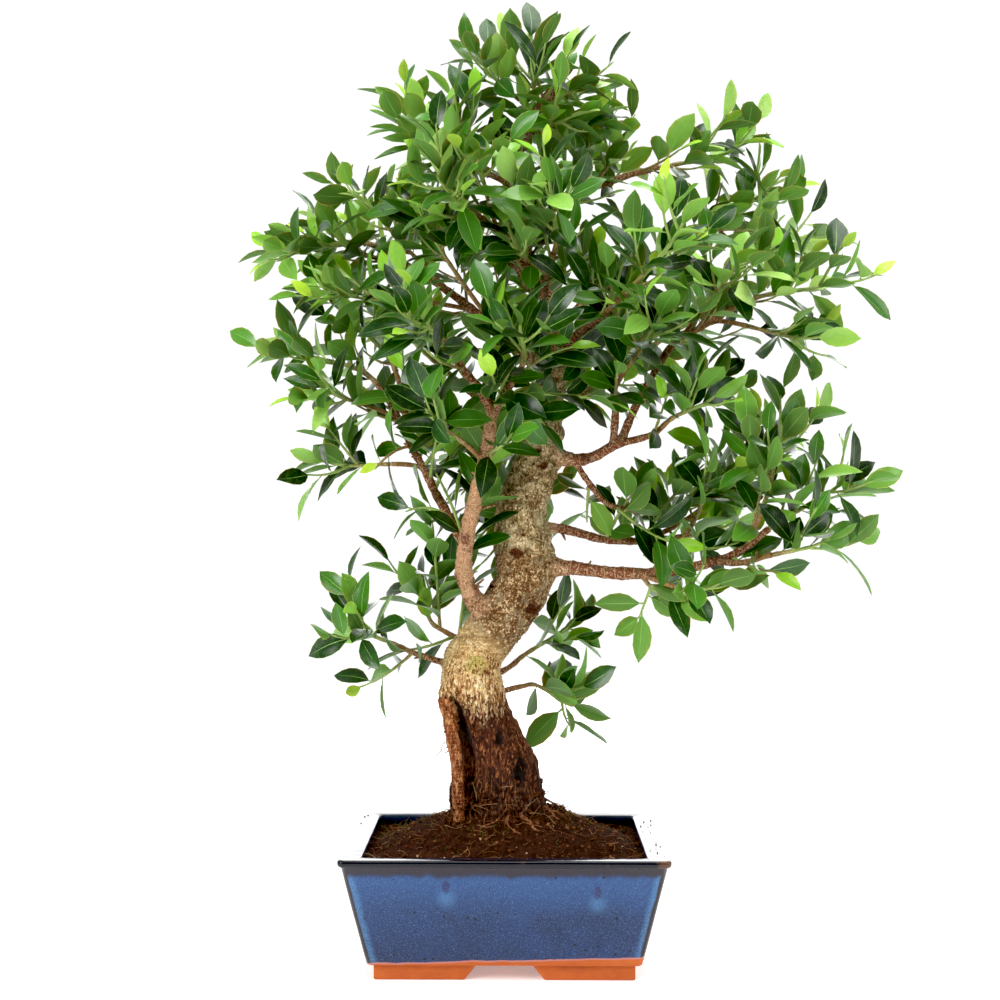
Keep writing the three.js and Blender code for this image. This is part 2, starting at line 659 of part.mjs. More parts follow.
// The main shoots of all sprays, each with the woody twig that carries it where it leaves a limb's side
function startSprays(woodPieces) {
  return sprayTable.map((row, number) => {
    const main = mainShoot(row);
    if (main.from > 0) {
      const span = { sides: 3, steps: 1, from: 0, to: main.from };
      woodPieces.push(tube(main.curve, () => main.radius * woodyTwigGain, span));
    }
    const name = `spray_${String(number + 1).padStart(2, '0')}`;
    const gap = shootGap / main.reach;
    return { name, number, main: { ...main, from: main.from + gap }, shoots: [], stems: [], leaves: [] };
  });
}

function addShoot(spray, shoot) {
  const solid = shootSolid(shoot, 0);
  spray.shoots.push(shoot);
  spray.stems.push(solid);
  addPlaced(spray.name, solid);
}

// A side shoot is turned round its stem until it is clear of everything else
function addSideShoot(spray, number) {
  for (const turn of sideShootTurns) {
    const draw = drawsFrom(spray.number * sprayStride + number * shootStride);
    const shoot = sideShoot(spray.main, number, draw, turn);
    if (!meetsOthers(shootSolid(shoot, leafClearance), spray.name)) {
      addShoot(spray, shoot);
      return;
    }
  }
  spray.shoots.push(null);
}

function addLeaf(spray, place, leafNumber) {
  const shoot = spray.shoots[place.shoot];
  if (!shoot) {
    return;
  }
  for (const turn of leafTurns) {
    const draw = drawsFrom(spray.number * sprayStride + leafNumber * leafStride + firstLeafSeed);
    const pose = leafPose(shoot, place, leafNumber, draw, turn);
    const room = makeLeaf(pose, leafClearance);
    if (!meetsOthers(room, spray.name) && !meetsAny(room, spray.leaves)) {
      const leaf = makeLeaf(pose, 0);
      spray.leaves.push(leaf);
      addPlaced(spray.name, leaf);
      return;
    }
  }
}

const pot = makePot();
const woodPieces = [makeTrunk(0), ...makeRoots(0), ...Object.keys(limbTable).map(makeLimb)];
const soil = makeSoil(pot, join([makeTrunk(rootGap), ...makeRoots(rootGap)]));
const sprays = startSprays(woodPieces);
woodPieces.forEach((piece) => addPlaced('wood', piece));
addPlaced('soil', soil);
addPlaced('pot', pot.solid);
sprays.forEach((spray) => addShoot(spray, spray.main));
for (const number of [1, 2]) {
  sprays.forEach((spray) => addSideShoot(spray, number));
}
leafPlaces.forEach((place, leafNumber) => {
  sprays.forEach((spray) => addLeaf(spray, place, leafNumber));
});

function material(color, roughness, metalness = 0) {
  return new THREE.MeshStandardMaterial({ color, roughness, metalness });
}

function named(name, solid, look) {
  const mesh = new THREE.Mesh(geometryFrom(solid), look);
  mesh.name = name;
  return mesh;
}

const bonsai = new THREE.Group();
bonsai.add(named('pot', pot.solid, material(0x274a7c, 0.25)));
bonsai.add(named('drain_screen_left', makeScreen(-1, pot.floorTop), material(0x26282a, 0.6)));
bonsai.add(named('drain_screen_right', makeScreen(1, pot.floorTop), material(0x26282a, 0.6)));
bonsai.add(named('soil', soil, material(0x2b1810, 0.95)));
bonsai.add(named('wood', join(woodPieces), material(0x8a6a50, 0.85)));
for (const spray of sprays) {
  const [hue, light] = [0.3 + 0.02 * (spray.number % 3), 0.2 + 0.015 * (spray.number % 4)];
  const shade = new THREE.Color().setHSL(hue, 0.5, light);
  bonsai.add(named(spray.name, join([...spray.stems, ...spray.leaves]), material(shade, 0.4)));
}

const bounds = new THREE.Box3().setFromObject(bonsai);
const middle = bounds.getCenter(new THREE.Vector3());
bonsai.position.set(-middle.x, -middle.y, -bounds.min.z);
const object = new THREE.Group();
object.add(bonsai);

export default object;
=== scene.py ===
from itertools import product
from math import ceil, cos, exp, hypot, pi, radians, sin

import bmesh
import bpy
from mathutils import Matrix, Vector, noise
from mathutils.bvhtree import BVHTree
from mathutils.kdtree import KDTree


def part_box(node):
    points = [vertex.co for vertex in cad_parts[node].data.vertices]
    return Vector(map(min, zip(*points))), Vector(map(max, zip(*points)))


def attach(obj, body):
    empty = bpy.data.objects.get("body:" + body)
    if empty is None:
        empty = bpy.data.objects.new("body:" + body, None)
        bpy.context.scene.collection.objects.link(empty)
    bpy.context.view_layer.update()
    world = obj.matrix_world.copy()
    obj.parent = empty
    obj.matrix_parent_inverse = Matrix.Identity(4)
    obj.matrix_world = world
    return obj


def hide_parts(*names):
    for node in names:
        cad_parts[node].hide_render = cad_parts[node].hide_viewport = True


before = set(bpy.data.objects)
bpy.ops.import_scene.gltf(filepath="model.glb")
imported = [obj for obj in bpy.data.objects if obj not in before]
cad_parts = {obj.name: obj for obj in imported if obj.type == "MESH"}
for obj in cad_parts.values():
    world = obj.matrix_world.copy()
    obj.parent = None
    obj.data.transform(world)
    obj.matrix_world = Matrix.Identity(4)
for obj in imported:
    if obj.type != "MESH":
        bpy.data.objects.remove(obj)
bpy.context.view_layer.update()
print("frame loaded")

# Until a piece is finished, lengths are in millimetres from the middle of the pot's foot
potLow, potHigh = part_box("pot")
potFoot = Vector(((potLow.x + potHigh.x) / 2, (potLow.y + potHigh.y) / 2, potLow.z))
toMetres = Matrix.Translation(potFoot) @ Matrix.Scale(0.001, 4)
toMillimetres = toMetres.inverted()
up = Vector((0, 0, 1))
noise.seed_set(4)  # unseeded, noise vectors differ from run to run


def asMesh(name, bm):
    mesh = bpy.data.meshes.new(name)
    bm.to_mesh(mesh)
    bm.free()
    return mesh


def putInScene(name, data):
    thing = bpy.data.objects.new(name, data)
    bpy.context.scene.collection.objects.link(thing)
    return thing


camera = {
    "place": (12.5, -1468, 434),
    "turn": 0.68,  # degrees to the left of straight ahead
    "tilt": 0.15,  # degrees upwards
    "lens": 54.83,
    "sensor": 36,
}


def makeCamera():
    data = bpy.data.cameras.new("camera")
    data.lens = camera["lens"]
    data.sensor_width = camera["sensor"]
    eye = putInScene("camera", data)
    eye.location = toMetres @ Vector(camera["place"])
    eye.rotation_euler = (pi / 2 + radians(camera["tilt"]), 0, radians(camera["turn"]))
    bpy.context.scene.camera = eye


makeCamera()


# Studio: a white backdrop, a room that is dimmer in front, large soft lamps and a pale floor
studio = {
    "backdrop": 1.06,
    "roomLight": (0.18, 0.75),  # in front and behind
    "dimming": (-0.45, 0.3),  # where the room's light goes from the one to the other
    "floor": (0.96, 0.96, 0.96, 1),
    "floorGlow": 0.3,
    "floorRoughness": 0.7,
    "floorSize": 4.4,
    "blackPoint": 0.009,
    "lamps": [  # place and aim in metres, width and height in metres, power in watts
        {"name": "top", "place": (0.2, -0.5, 2.6), "aim": (0, 0, 0.5), "size": (1.8, 1.8), "power": 68},
        {"name": "left", "place": (-1.9, -1.6, 1.5), "aim": (0, 0, 0.5), "size": (1.2, 1.2), "power": 56},
        {"name": "right", "place": (2.1, -1.3, 1.3), "aim": (0, 0, 0.5), "size": (1.2, 1.2), "power": 26},
        {"name": "behind", "place": (0.5, 2.2, 1.9), "aim": (0, 0, 0.6), "size": (1.6, 1.6), "power": 22},
        {"name": "wall", "place": (0, 2.6, 0.75), "aim": (0, 0, 0.6), "size": (3, 1), "power": 26},
    ],
}


def makeStudio():
    world = bpy.data.worlds.new("room")
    bpy.context.scene.world = world
    world.use_nodes = True
    nodes, links = world.node_tree.nodes, world.node_tree.links
    way = nodes.new("ShaderNodeSeparateXYZ")
    links.new(nodes.new("ShaderNodeTexCoord").outputs["Generated"], way.inputs[0])
    light = nodes.new("ShaderNodeMapRange")
    light.interpolation_type = "SMOOTHSTEP"
    links.new(way.outputs["Y"], light.inputs["Value"])
    ends = studio["dimming"] + studio["roomLight"]
    for socket, value in zip(("From Min", "From Max", "To Min", "To Max"), ends):
        light.inputs[socket].default_value = value
    seen = nodes.new("ShaderNodeMix")
    links.new(nodes.new("ShaderNodeLightPath").outputs["Is Camera Ray"], seen.inputs[0])
    links.new(light.outputs[0], seen.inputs[2])
    seen.inputs[3].default_value = studio["backdrop"]
    nodes["Background"].inputs["Color"].default_value = (1, 1, 1, 1)
    links.new(seen.outputs[0], nodes["Background"].inputs["Strength"])
    for lamp in studio["lamps"]:
        data = bpy.data.lights.new(lamp["name"], "AREA")
        data.shape = "RECTANGLE"
        data.size, data.size_y = lamp["size"]
        data.energy = lamp["power"]
        stand = putInScene(lamp["name"], data)
        stand.location = lamp["place"]
        aim = Vector(lamp["aim"]) - stand.location
        stand.rotation_euler = aim.to_track_quat("-Z", "Y").to_euler()
    bm = bmesh.new()
    bmesh.ops.create_grid(bm, x_segments=1, y_segments=1, size=studio["floorSize"] / 2)
    mesh = asMesh("floor", bm)
    pale = bpy.data.materials.new("paleFloor")
    pale.use_nodes = True
    shader = pale.node_tree.nodes["Principled BSDF"]
    shader.inputs["Base Color"].default_value = studio["floor"]
    shader.inputs["Emission Color"].default_value = studio["floor"]
    shader.inputs["Emission Strength"].default_value = studio["floorGlow"]
    shader.inputs["Roughness"].default_value = studio["floorRoughness"]
    mesh.materials.append(pale)
    putInScene("floor", mesh)
    view = bpy.context.scene.view_settings
    view.view_transform = "Standard"
    view.use_curve_mapping = True
    view.curve_mapping.black_level = [studio["blackPoint"]] * 3
    view.curve_mapping.update()


makeStudio()
print("studio made")


# Node helpers: each adds to the material that was started last, and returns the output of what it adds
painting = {}


def paint(red, green, blue):  # a colour as it looks on a screen, 0 to 255
    linear = [((c / 255 + 0.055) / 1.055) ** 2.4 if c > 10 else c / 3294 for c in (red, green, blue)]
    return (*linear, 1)


def startMaterial(name, settings):
    material = bpy.data.materials.new(name)
    material.use_nodes = True
    painting["nodes"], painting["links"] = material.node_tree.nodes, material.node_tree.links
    for socket, value in settings.items():
        painting["nodes"]["Principled BSDF"].inputs[socket].default_value = value
    return material


def addNode(kind, inputs, output=0, **settings):
    node = painting["nodes"].new("ShaderNode" + kind)
    for name, value in settings.items():
        setattr(node, name, value)
    for name, value in inputs.items():
        if isinstance(value, bpy.types.NodeSocket):
            painting["links"].new(value, node.inputs[name])
        else:
            node.inputs[name].default_value = value
    return node.outputs if output is None else node.outputs[output]


def plug(socket, value):
    painting["links"].new(value, painting["nodes"]["Principled BSDF"].inputs[socket])


def objectPlace(scale=(1, 1, 1)):  # in metres from the middle of the pot's foot
    place = addNode("TexCoord", {}, "Object")
    back = [-potFoot[axis] * scale[axis] for axis in range(3)]
    return addNode("Mapping", {"Vector": place, "Location": back, "Scale": scale})


def maths(operation, first, second=0.0, third=0.0):
    return addNode("Math", {0: first, 1: second, 2: third}, operation=operation)


def plus(first, second):
    return maths("ADD", first, second)


def minus(first, second):
    return maths("SUBTRACT", first, second)


def times(first, second):
    return maths("MULTIPLY", first, second)


def timesPlus(first, second, third):
    return maths("MULTIPLY_ADD", first, second, third)


def sine(value):
    return maths("SINE", value)


def farFrom(first, second):
    return addNode("VectorMath", {0: first, 1: second}, "Value", operation="DISTANCE")


def axes(place):
    return addNode("SeparateXYZ", {0: place}, None)


def between(value, low, high, toLow=0.0, toHigh=1.0):
    inputs = {"Value": value, "From Min": low, "From Max": high, "To Min": toLow, "To Max": toHigh}
    return addNode("MapRange", inputs, interpolation_type="SMOOTHSTEP")


def grain(place, scale, detail=3.0, roughness=0.55, distortion=0.0):
    return addNode("TexNoise", {"Vector": place, "Scale": scale, "Detail": detail, "Roughness": roughness,
                                "Distortion": distortion})


def cells(place, scale, output="Distance", **settings):
    return addNode("TexVoronoi", {"Vector": place, "Scale": scale}, output, **settings)


def blend(share, first, second):
    return addNode("Mix", {0: share, 6: first, 7: second}, 2, data_type="RGBA")


def layered(colour, layers):  # colours laid over a colour, each by its share
    for share, over in layers:
        colour = blend(share, colour, over)
    return colour


def ramp(share, stops):  # each stop is a position, red, green and blue
    node = painting["nodes"].new("ShaderNodeValToRGB")
    elements = node.color_ramp.elements
    elements.remove(elements[1])
    elements[0].position = stops[0][0]
    elements[0].color = paint(*stops[0][1:])
    for position, *colour in stops[1:]:
        elements.new(position).color = paint(*colour)
    painting["links"].new(share, node.inputs[0])
    return node.outputs[0]


def attribute(name):
    return addNode("Attribute", {}, "Fac", attribute_name=name)


def addBump(height, distance, strength=1.0):
    plug("Normal", addNode("Bump", {"Height": height, "Distance": distance, "Strength": strength}))


# Mesh helpers


def mix(first, second, share):
    return first + (second - first) * share


def ease(value, low, high):
    share = min(1, max(0, (value - low) / (high - low)))
    return share * share * (3 - 2 * share)


def drawsFrom(seed):  # the same draws between 0 and 1, each time
    state = seed % 2147483646 + 1

    def draw():
        nonlocal state
        state = state * 16807 % 2147483647
        return state / 2147483647

    draw()
    draw()
    return draw


def finishPiece(name, bm, materials, nodes=()):
    bmesh.ops.transform(bm, matrix=toMetres, verts=bm.verts)
    mesh = asMesh(name, bm)
    for material in materials:
        mesh.materials.append(material)
    mesh.shade_smooth()
    piece = putInScene(name, mesh)
    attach(piece, "root")
    if nodes:
        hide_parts(*nodes)
    return piece


def settled(bm, modifiers):  # the mesh after the modifiers, which are (kind, settings) pairs
    mesh = asMesh("settling", bm)
    holder = putInScene("settling", mesh)
    for kind, settings in modifiers:
        modifier = holder.modifiers.new(kind, kind)
        for name, value in settings.items():
            setattr(modifier, name, value)
    evaluated = holder.evaluated_get(bpy.context.evaluated_depsgraph_get())
    result = bmesh.new()
    result.from_mesh(evaluated.to_mesh())
    bpy.data.objects.remove(holder)
    bpy.data.meshes.remove(mesh)
    return result


def only(kind, parts):
    return [part for part in parts if isinstance(part, kind)]


def tubes(paths, sides):  # paths are (points, radii) pairs
    curve = bpy.data.curves.new("tubes", "CURVE")
    curve.dimensions = "3D"
    curve.bevel_depth = 1
    curve.bevel_resolution = (sides - 4) // 2
    curve.use_fill_caps = True
    for points, radii in paths:
        spline = curve.splines.new("POLY")
        spline.points.add(len(points) - 1)
        for spot, point, radius in zip(spline.points, points, radii):
            spot.co = (*point, 1)
            spot.radius = radius
    holder = putInScene("tubes", curve)
    evaluated = holder.evaluated_get(bpy.context.evaluated_depsgraph_get())
    bm = bmesh.new()
    bm.from_mesh(evaluated.to_mesh())
    bpy.data.objects.remove(holder)
    bpy.data.curves.remove(curve)
    bmesh.ops.remove_doubles(bm, verts=bm.verts, dist=0.002)
    return bm


# Pot
pot = {
    "rim": (300, 220),
    "height": 115.4,
    "lean": 23,  # how far each wall leans out on its way up
    "corner": 4.5,
    "footHeight": 14.8,
    "footInset": 6,
    "footWidth": 16,
    "lipHeight": 6,
    "lipProud": 1.5,
    "opening": (258, 186),
    "lipThickness": 8,
    "wall": 9,
    "floorThickness": 9.2,
    "longGap": (24, 36.5),  # half the cut-out between the feet, at its top and at the ground
    "shortGap": (17, 26),
    "drain": 18,
    "drainSpacing": 124,
    "unevenness": 0.35,
    "blues": [paint(20, 36, 72), paint(25, 47, 90), paint(38, 73, 124)],
    "pale": paint(96, 142, 188),
    "dark": paint(12, 22, 46),
    "streak": paint(80, 128, 172),
    "smudge": paint(34, 28, 74),
    "bands": [paint(26, 25, 36), paint(46, 38, 42)],
    "lip": paint(6, 8, 18),
    "thin": paint(188, 120, 110),  # where the glaze runs out over the clay
    "clay": [paint(158, 68, 20), paint(198, 102, 38)],
    "sand": paint(140, 66, 36),
    "smudges": [(-52, 91), (84, 86)],  # across and height, on the front
    "smudgeTall": 0.45,  # how wide each one is for its height
    "haloDrop": 12,
    "pit": paint(8, 14, 30),
    "edge": paint(40, 26, 28),
    "lipBrown": paint(86, 58, 40),
    "inside": [paint(8, 14, 30), paint(28, 46, 78)],
}


def footHalves():  # half the length and depth of the pot where its walls start
    return [side / 2 - pot["lipProud"] - pot["lean"] for side in pot["rim"]]


def leanAt(height):  # how far the walls lean out at a height
    return pot["lean"] / (pot["height"] - pot["footHeight"]) * (height - pot["footHeight"])


def potGlaze():
    material = startMaterial("blueGlaze", {"Roughness": 0.14, "IOR": 1.38, "Coat Weight": 0.12,
                                           "Coat Roughness": 0.04})
    place = objectPlace()
    across, deep, height = axes(place)
    cloud = grain(place, 24, 4)
    mottle = grain(place, 950, 3, 0.8)
    flow = grain(objectPlace((1, 1, 0.3)), 90, 3)
    wander = minus(mottle, 0.5)
    deepBlue, midBlue, brightBlue = pot["blues"]

    def above(value, low, high):  # 0 to 1 between two heights in millimetres
        return between(value, low / 1000, high / 1000)

    tall = timesPlus(minus(flow, 0.5), 0.008, height)
    bright = times(above(tall, 52, 99), above(tall, 105, 97))
    raised = minus(height, pot["footHeight"] / 1000)
    toEdge = []
    for half, side in zip(footHalves(), (across, deep)):
        wall = timesPlus(raised, leanAt(pot["footHeight"] + 1), half / 1000)
        toEdge.append(minus(wall, maths("ABSOLUTE", side)))
    corner = plus(maths("MAXIMUM", *toEdge), times(flow, 0.004))
    glow = times(between(corner, 0.0145, 0.0085), between(mottle, 0.3, 0.6, 0.2, 0.6))
    layers = [(times(bright, 0.85), brightBlue), (glow, pot["streak"])]
    tallSmudge = pot["smudgeTall"]
    for x, z in pot["smudges"]:
        front = -footHalves()[1] - leanAt(z)
        core = [step / 1000 for step in (x, front, z * tallSmudge)]
        core = timesPlus(wander, 0.004, farFrom(objectPlace((1, 1, tallSmudge)), core))
        halo = [step / 1000 for step in (x, front, z - pot["haloDrop"])]
        halo = timesPlus(wander, 0.02, farFrom(place, halo))
        layers.append((between(halo, 0.013, 0.001, 0, 0.42), pot["streak"]))
        layers.append((between(core, 0.0042, 0.0018, 0, 0.8), pot["smudge"]))
    pit = times(between(cells(place, 105), 0.17, 0.09), between(cells(place, 105, "Color"), 0.55, 0.6))
    top = pot["height"]
    lipUnder = top - pot["lipHeight"]
    band = blend(between(mottle, 0.35, 0.65), *pot["bands"])
    lip = blend(between(cloud, 0.6, 0.75), pot["lip"], pot["lipBrown"])
    uneven = timesPlus(across, -0.03, timesPlus(cloud, 0.006, height))
    bare = above(uneven, 22.1, 21.6)
    plug("Base Color", layered(blend(between(cloud, 0.35, 0.65), deepBlue, midBlue), layers + [
        (between(mottle, 0.52, 0.72, 0, 0.5), pot["pale"]),
        (between(mottle, 0.48, 0.34, 0, 0.7), pot["dark"]),
        (pit, pot["pit"]),
        (above(timesPlus(wander, 0.014, tall), top - 17.2, top - 11.4), band),
        (between(corner, 0.0078, 0.0056), pot["edge"]),
        (above(height, lipUnder - 0.8, lipUnder + 0.4), lip),
        (between(maths("MINIMUM", *toEdge), 0.004, 0.006), blend(flow, *pot["inside"])),
        (times(above(uneven, 23.8, 22.8), 0.85), pot["thin"]),
        (bare, blend(grain(place, 60, 4), *pot["clay"])),
    ]))
    plug("Roughness", timesPlus(bare, 0.6, 0.13))
    ripple = timesPlus(grain(place, 45, 3), 1.4, times(pit, -0.7))
    addBump(timesPlus(mottle, 0.1, ripple), 0.0006, 0.6)
    return material


def roughClay():
    material = startMaterial("bareClay", {"Roughness": 0.8})
    place = objectPlace()
    sand = grain(place, 900, 2, 0.6)
    colour = blend(grain(place, 70, 4), *pot["clay"])
    plug("Base Color", blend(between(sand, 0.62, 0.75, 0, 0.5), colour, pot["sand"]))
    addBump(sand, 0.0004, 0.6)
    return material


def potRings():  # half length, half depth and height of each ring, from the underside to the floor inside
    footLength, footDepth = footHalves()
    top, foot = pot["height"], pot["footHeight"]
    lipUnder = top - pot["lipHeight"]
    rings = [(footLength - 1.2, footDepth - 1.2, foot), (footLength, footDepth, foot + 1)]
    wallTop = lipUnder - 1.6
    for step in range(1, 9):
        height = mix(foot + 1, wallTop, step / 8)
        out = leanAt(height)
        rings.append((footLength + out, footDepth + out, height))
    halfLength, halfDepth = pot["rim"][0] / 2, pot["rim"][1] / 2
    under = [(back, lipUnder + rise) for back, rise in ((2.5, -0.9), (1.2, -0.3), (0.4, 0.7), (0, 2.4))]
    over = [(back, top - drop) for back, drop in ((0.1, 2), (0.6, 0.8), (1.6, 0.1), (3.2, 0))]
    for back, height in under + over:
        rings.append((halfLength - back, halfDepth - back, height))
    openLength, openDepth = pot["opening"][0] / 2, pot["opening"][1] / 2
    for out, drop in [(2.4, 0.5), (1.1, 0.9), (0.3, 2), (0, 3.5), (0, 6), (0.8, 7.4)]:
        rings.append((openLength + out, openDepth + out, top - drop))
    for height in [top - pot["lipThickness"] - 1, mix(foot, top, 0.5), foot + pot["floorThickness"]]:
        out = leanAt(height) - pot["wall"]
        rings.append((footLength + out, footDepth + out, height))
    return rings


def makePotBody():
    bm = bmesh.new()
    bmesh.ops.create_grid(bm, x_segments=1, y_segments=1, size=1)
    rings = potRings()
    length, depth, height = rings[0]
    bmesh.ops.transform(bm, matrix=Matrix.Diagonal((length, depth, 1, 1)), verts=bm.verts)
    bmesh.ops.translate(bm, vec=(0, 0, height), verts=bm.verts)
    bmesh.ops.subdivide_edges(bm, edges=bm.edges, cuts=10, use_grid_fill=False)
    corners = [v for v in bm.verts if abs(abs(v.co.x) - length) < 0.01 and abs(abs(v.co.y) - depth) < 0.01]
    bmesh.ops.bevel(bm, geom=corners, offset=pot["corner"], affect="VERTICES", segments=6, profile=0.5,
                    material=-1)
    top = bm.faces[:][0]
    for index, ring in enumerate(rings[1:]):
        raised = bmesh.ops.extrude_face_region(bm, geom=[top], use_keep_orig=index == 0)["geom"]
        corners = only(bmesh.types.BMVert, raised)
        before = top
        top = only(bmesh.types.BMFace, raised)[0]
        if index > 0 and before.is_valid:
            bmesh.ops.delete(bm, geom=[before], context="FACES_ONLY")
        grow = Matrix.Diagonal((ring[0] / length, ring[1] / depth, 1, 1))
        bmesh.ops.transform(bm, matrix=grow, verts=corners)
        bmesh.ops.translate(bm, vec=(0, 0, ring[2] - height), verts=corners)
        length, depth, height = ring
    bmesh.ops.recalc_face_normals(bm, faces=bm.faces)
    for vert in bm.verts:
        wave = noise.noise_vector(vert.co / 55) + noise.noise_vector(vert.co / 21) * 0.4
        vert.co += Vector((wave.x, wave.y, wave.z * 0.5)) * pot["unevenness"]
    return bm


def makeFeet():
    bm = bmesh.new()
    outX, outY = [half - pot["footInset"] for half in footHalves()]
    inX, inY = outX - pot["footWidth"], outY - pot["footWidth"]
    (topX, groundX), (topY, groundY) = pot["longGap"], pot["shortGap"]
    outline = [(groundX, inY), (groundX, outY), (outX, outY), (outX, groundY), (inX, groundY), (inX, inY)]
    face = bm.faces.new([bm.verts.new((x, y, 0)) for x, y in outline])
    raised = bmesh.ops.extrude_face_region(bm, geom=[face], use_keep_orig=True)["geom"]
    for vert in only(bmesh.types.BMVert, raised):
        vert.co.z = pot["footHeight"] + 0.8
        if vert.co.x == groundX:
            vert.co.x = topX
        if vert.co.y == groundY:
            vert.co.y = topY
    edges = [e for e in bm.edges if min(v.co.z for v in e.verts) < 1]
    bmesh.ops.bevel(bm, geom=edges, offset=1.8, affect="EDGES", segments=3, profile=0.5, material=-1)
    for axis in "XY":
        bmesh.ops.mirror(bm, geom=bm.verts[:] + bm.edges[:] + bm.faces[:], axis=axis, merge_dist=0)
    bmesh.ops.recalc_face_normals(bm, faces=bm.faces)
    return bm


def makeDrills():
    bm = bmesh.new()
    for side in (-1, 1):
        place = Matrix.Translation((side * pot["drainSpacing"] / 2, 0, pot["footHeight"] + 4))
        bmesh.ops.create_cone(bm, cap_ends=True, segments=40, radius1=pot["drain"] / 2,
                              radius2=pot["drain"] / 2, depth=40, matrix=place)
    return bm


def makePot():
    feet = putInScene("feet", asMesh("feet", makeFeet()))
    drills = putInScene("drills", asMesh("drills", makeDrills()))
    bm = settled(makePotBody(), [
        ("BOOLEAN", {"operation": "UNION", "object": feet, "solver": "EXACT"}),
        ("BOOLEAN", {"operation": "DIFFERENCE", "object": drills, "solver": "EXACT"}),
    ])
    for tool in (feet, drills):
        bpy.data.objects.remove(tool)
    for face in bm.faces:
        middle = face.calc_center_median()
        if middle.z < pot["footHeight"] + 0.6:
            face.material_index = 1
    piece = finishPiece("glazed_pot", bm, [potGlaze(), roughClay()], ["pot"])
    piece.data.set_sharp_from_angle(angle=radians(40))


def makeScreens():  # the frame's own screens keep their shape and get moulded plastic
    material = startMaterial("meshPlastic", {"Roughness": 0.5, "IOR": 1.46})
    fine = grain(objectPlace(), 800, 3)
    plug("Base Color", blend(fine, paint(20, 22, 22), paint(52, 54, 52)))
    plug("Roughness", between(fine, 0.3, 0.7, 0.4, 0.65))
    addBump(fine, 0.0002, 0.4)
    for side in ("left", "right"):
        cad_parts["drain_screen_" + side].material_slots[0].material = material


makePot()
makeScreens()
print("pot made")


# Soil
soil = {
    "belowRim": 10.4,
    "mound": 36,
    "moundSize": (256, 180),
    "cells": (150, 106),
    "lumps": [(13, 2.2), (4.6, 1.3), (2.1, 0.7)],  # size and height of the lumps in its surface
    "crumbs": 1500,
    "fibres": 1150,
    "mossTufts": 420,
    "clinging": 700,
    "spilled": 16,
    "peats": [paint(34, 17, 11), paint(66, 37, 24), paint(118, 78, 50)],
    "litter": [  # the colours of the shade 0, dark peat, 0.5, dry fibre, 0.75, pale crumb, and 0.8 to 1, moss
        (0, 46, 25, 17), (0.25, 92, 52, 32), (0.5, 150, 104, 66), (0.75, 196, 168, 128), (0.8, 112, 104, 52),
        (1, 84, 92, 34),
    ],
    "clumps": [  # across, deep, size and height
        (52, -4, 17, 8), (-44, -4, 20, 5), (30, -18, 16, 4), (-8, -30, 18, 3),
    ],
    "crumbShapes": 6,
    "fibreShapes": 8,
    "moss": [(-85, 45, 26, 1), (62, -2, 18, 0.8), (-30, -60, 20, 0.5)],  # across, deep, size and share
}


def soilTop(x, y):
    reach = hypot(2 * x / soil["moundSize"][0], 2 * y / soil["moundSize"][1])
    share = max(0, 1 - reach * reach)
    waves = 1.6 * sin(x / 17 + y / 29) + 1.3 * cos(y / 13 - x / 37)
    return pot["height"] - soil["belowRim"] + (soil["mound"] + waves) * share


def soilSurface(x, y):
    rough = sum(noise.noise(Vector((x, y, size)) / size) * height for size, height in soil["lumps"])
    heaped = sum(exp(-hypot(x - clumpX, y - clumpY) ** 2 / size ** 2) * height
                 for clumpX, clumpY, size, height in soil["clumps"])
    return soilTop(x, y) + rough + heaped


def peat():
    material = startMaterial("darkPeat", {"Roughness": 0.95, "Specular IOR Level": 0.1})
    place = objectPlace()
    clump = grain(place, 150, 5, 0.7)
    dust = grain(place, 900, 3, 0.7)
    darkPeat, midPeat, dryPeat = soil["peats"]
    colour = blend(between(clump, 0.35, 0.72), darkPeat, midPeat)
    colour = blend(between(dust, 0.56, 0.8, 0, 0.7), colour, dryPeat)
    plug("Base Color", colour)
    addBump(plus(clump, times(dust, 0.4)), 0.002, 0.8)
    return material


def litterMaterial():
    material = startMaterial("soilLitter", {"Roughness": 0.9, "Specular IOR Level": 0.12})
    colour = ramp(attribute("shade"), soil["litter"])
    fine = grain(objectPlace(), 700, 3, 0.7)
    plug("Base Color", blend(between(fine, 0.4, 0.75, 0, 0.5), colour, paint(30, 16, 10)))
    addBump(fine, 0.0008, 0.6)
    return material


def makeSoil():
    bm = bmesh.new()
    across, deep = soil["cells"]
    bmesh.ops.create_grid(bm, x_segments=across, y_segments=deep, size=1)
    bottom = pot["footHeight"] + pot["floorThickness"] + 0.3

    def halves(height):
        return [half + leanAt(height) - pot["wall"] - 0.3 for half in footHalves()]

    length, depth = halves(pot["height"] - soil["belowRim"])
    for vert in bm.verts:
        x, y = vert.co.x * length, vert.co.y * depth
        edge = min(ease(1 - abs(vert.co.x), 0, 0.03), ease(1 - abs(vert.co.y), 0, 0.04))
        vert.co = (x, y, mix(pot["height"] - soil["belowRim"] - 1, soilSurface(x, y), edge))
    rim = [e for e in bm.edges if e.is_boundary]
    dropped = bmesh.ops.extrude_edge_only(bm, edges=rim)["geom"]
    lengthLow, depthLow = halves(bottom)
    for vert in only(bmesh.types.BMVert, dropped):
        vert.co = (vert.co.x * lengthLow / length, vert.co.y * depthLow / depth, bottom)
    bmesh.ops.contextual_create(bm, geom=only(bmesh.types.BMEdge, dropped))
    bmesh.ops.recalc_face_normals(bm, faces=bm.faces)
    finishPiece("peat_soil", bm, [peat()], ["soil"])


def crumbTemplate(draw):
    bm = bmesh.new()
    bmesh.ops.create_icosphere(bm, subdivisions=1, radius=1)
    for vert in bm.verts:
        vert.co *= 0.7 + 0.6 * draw()
    return asMesh("crumb", bm)


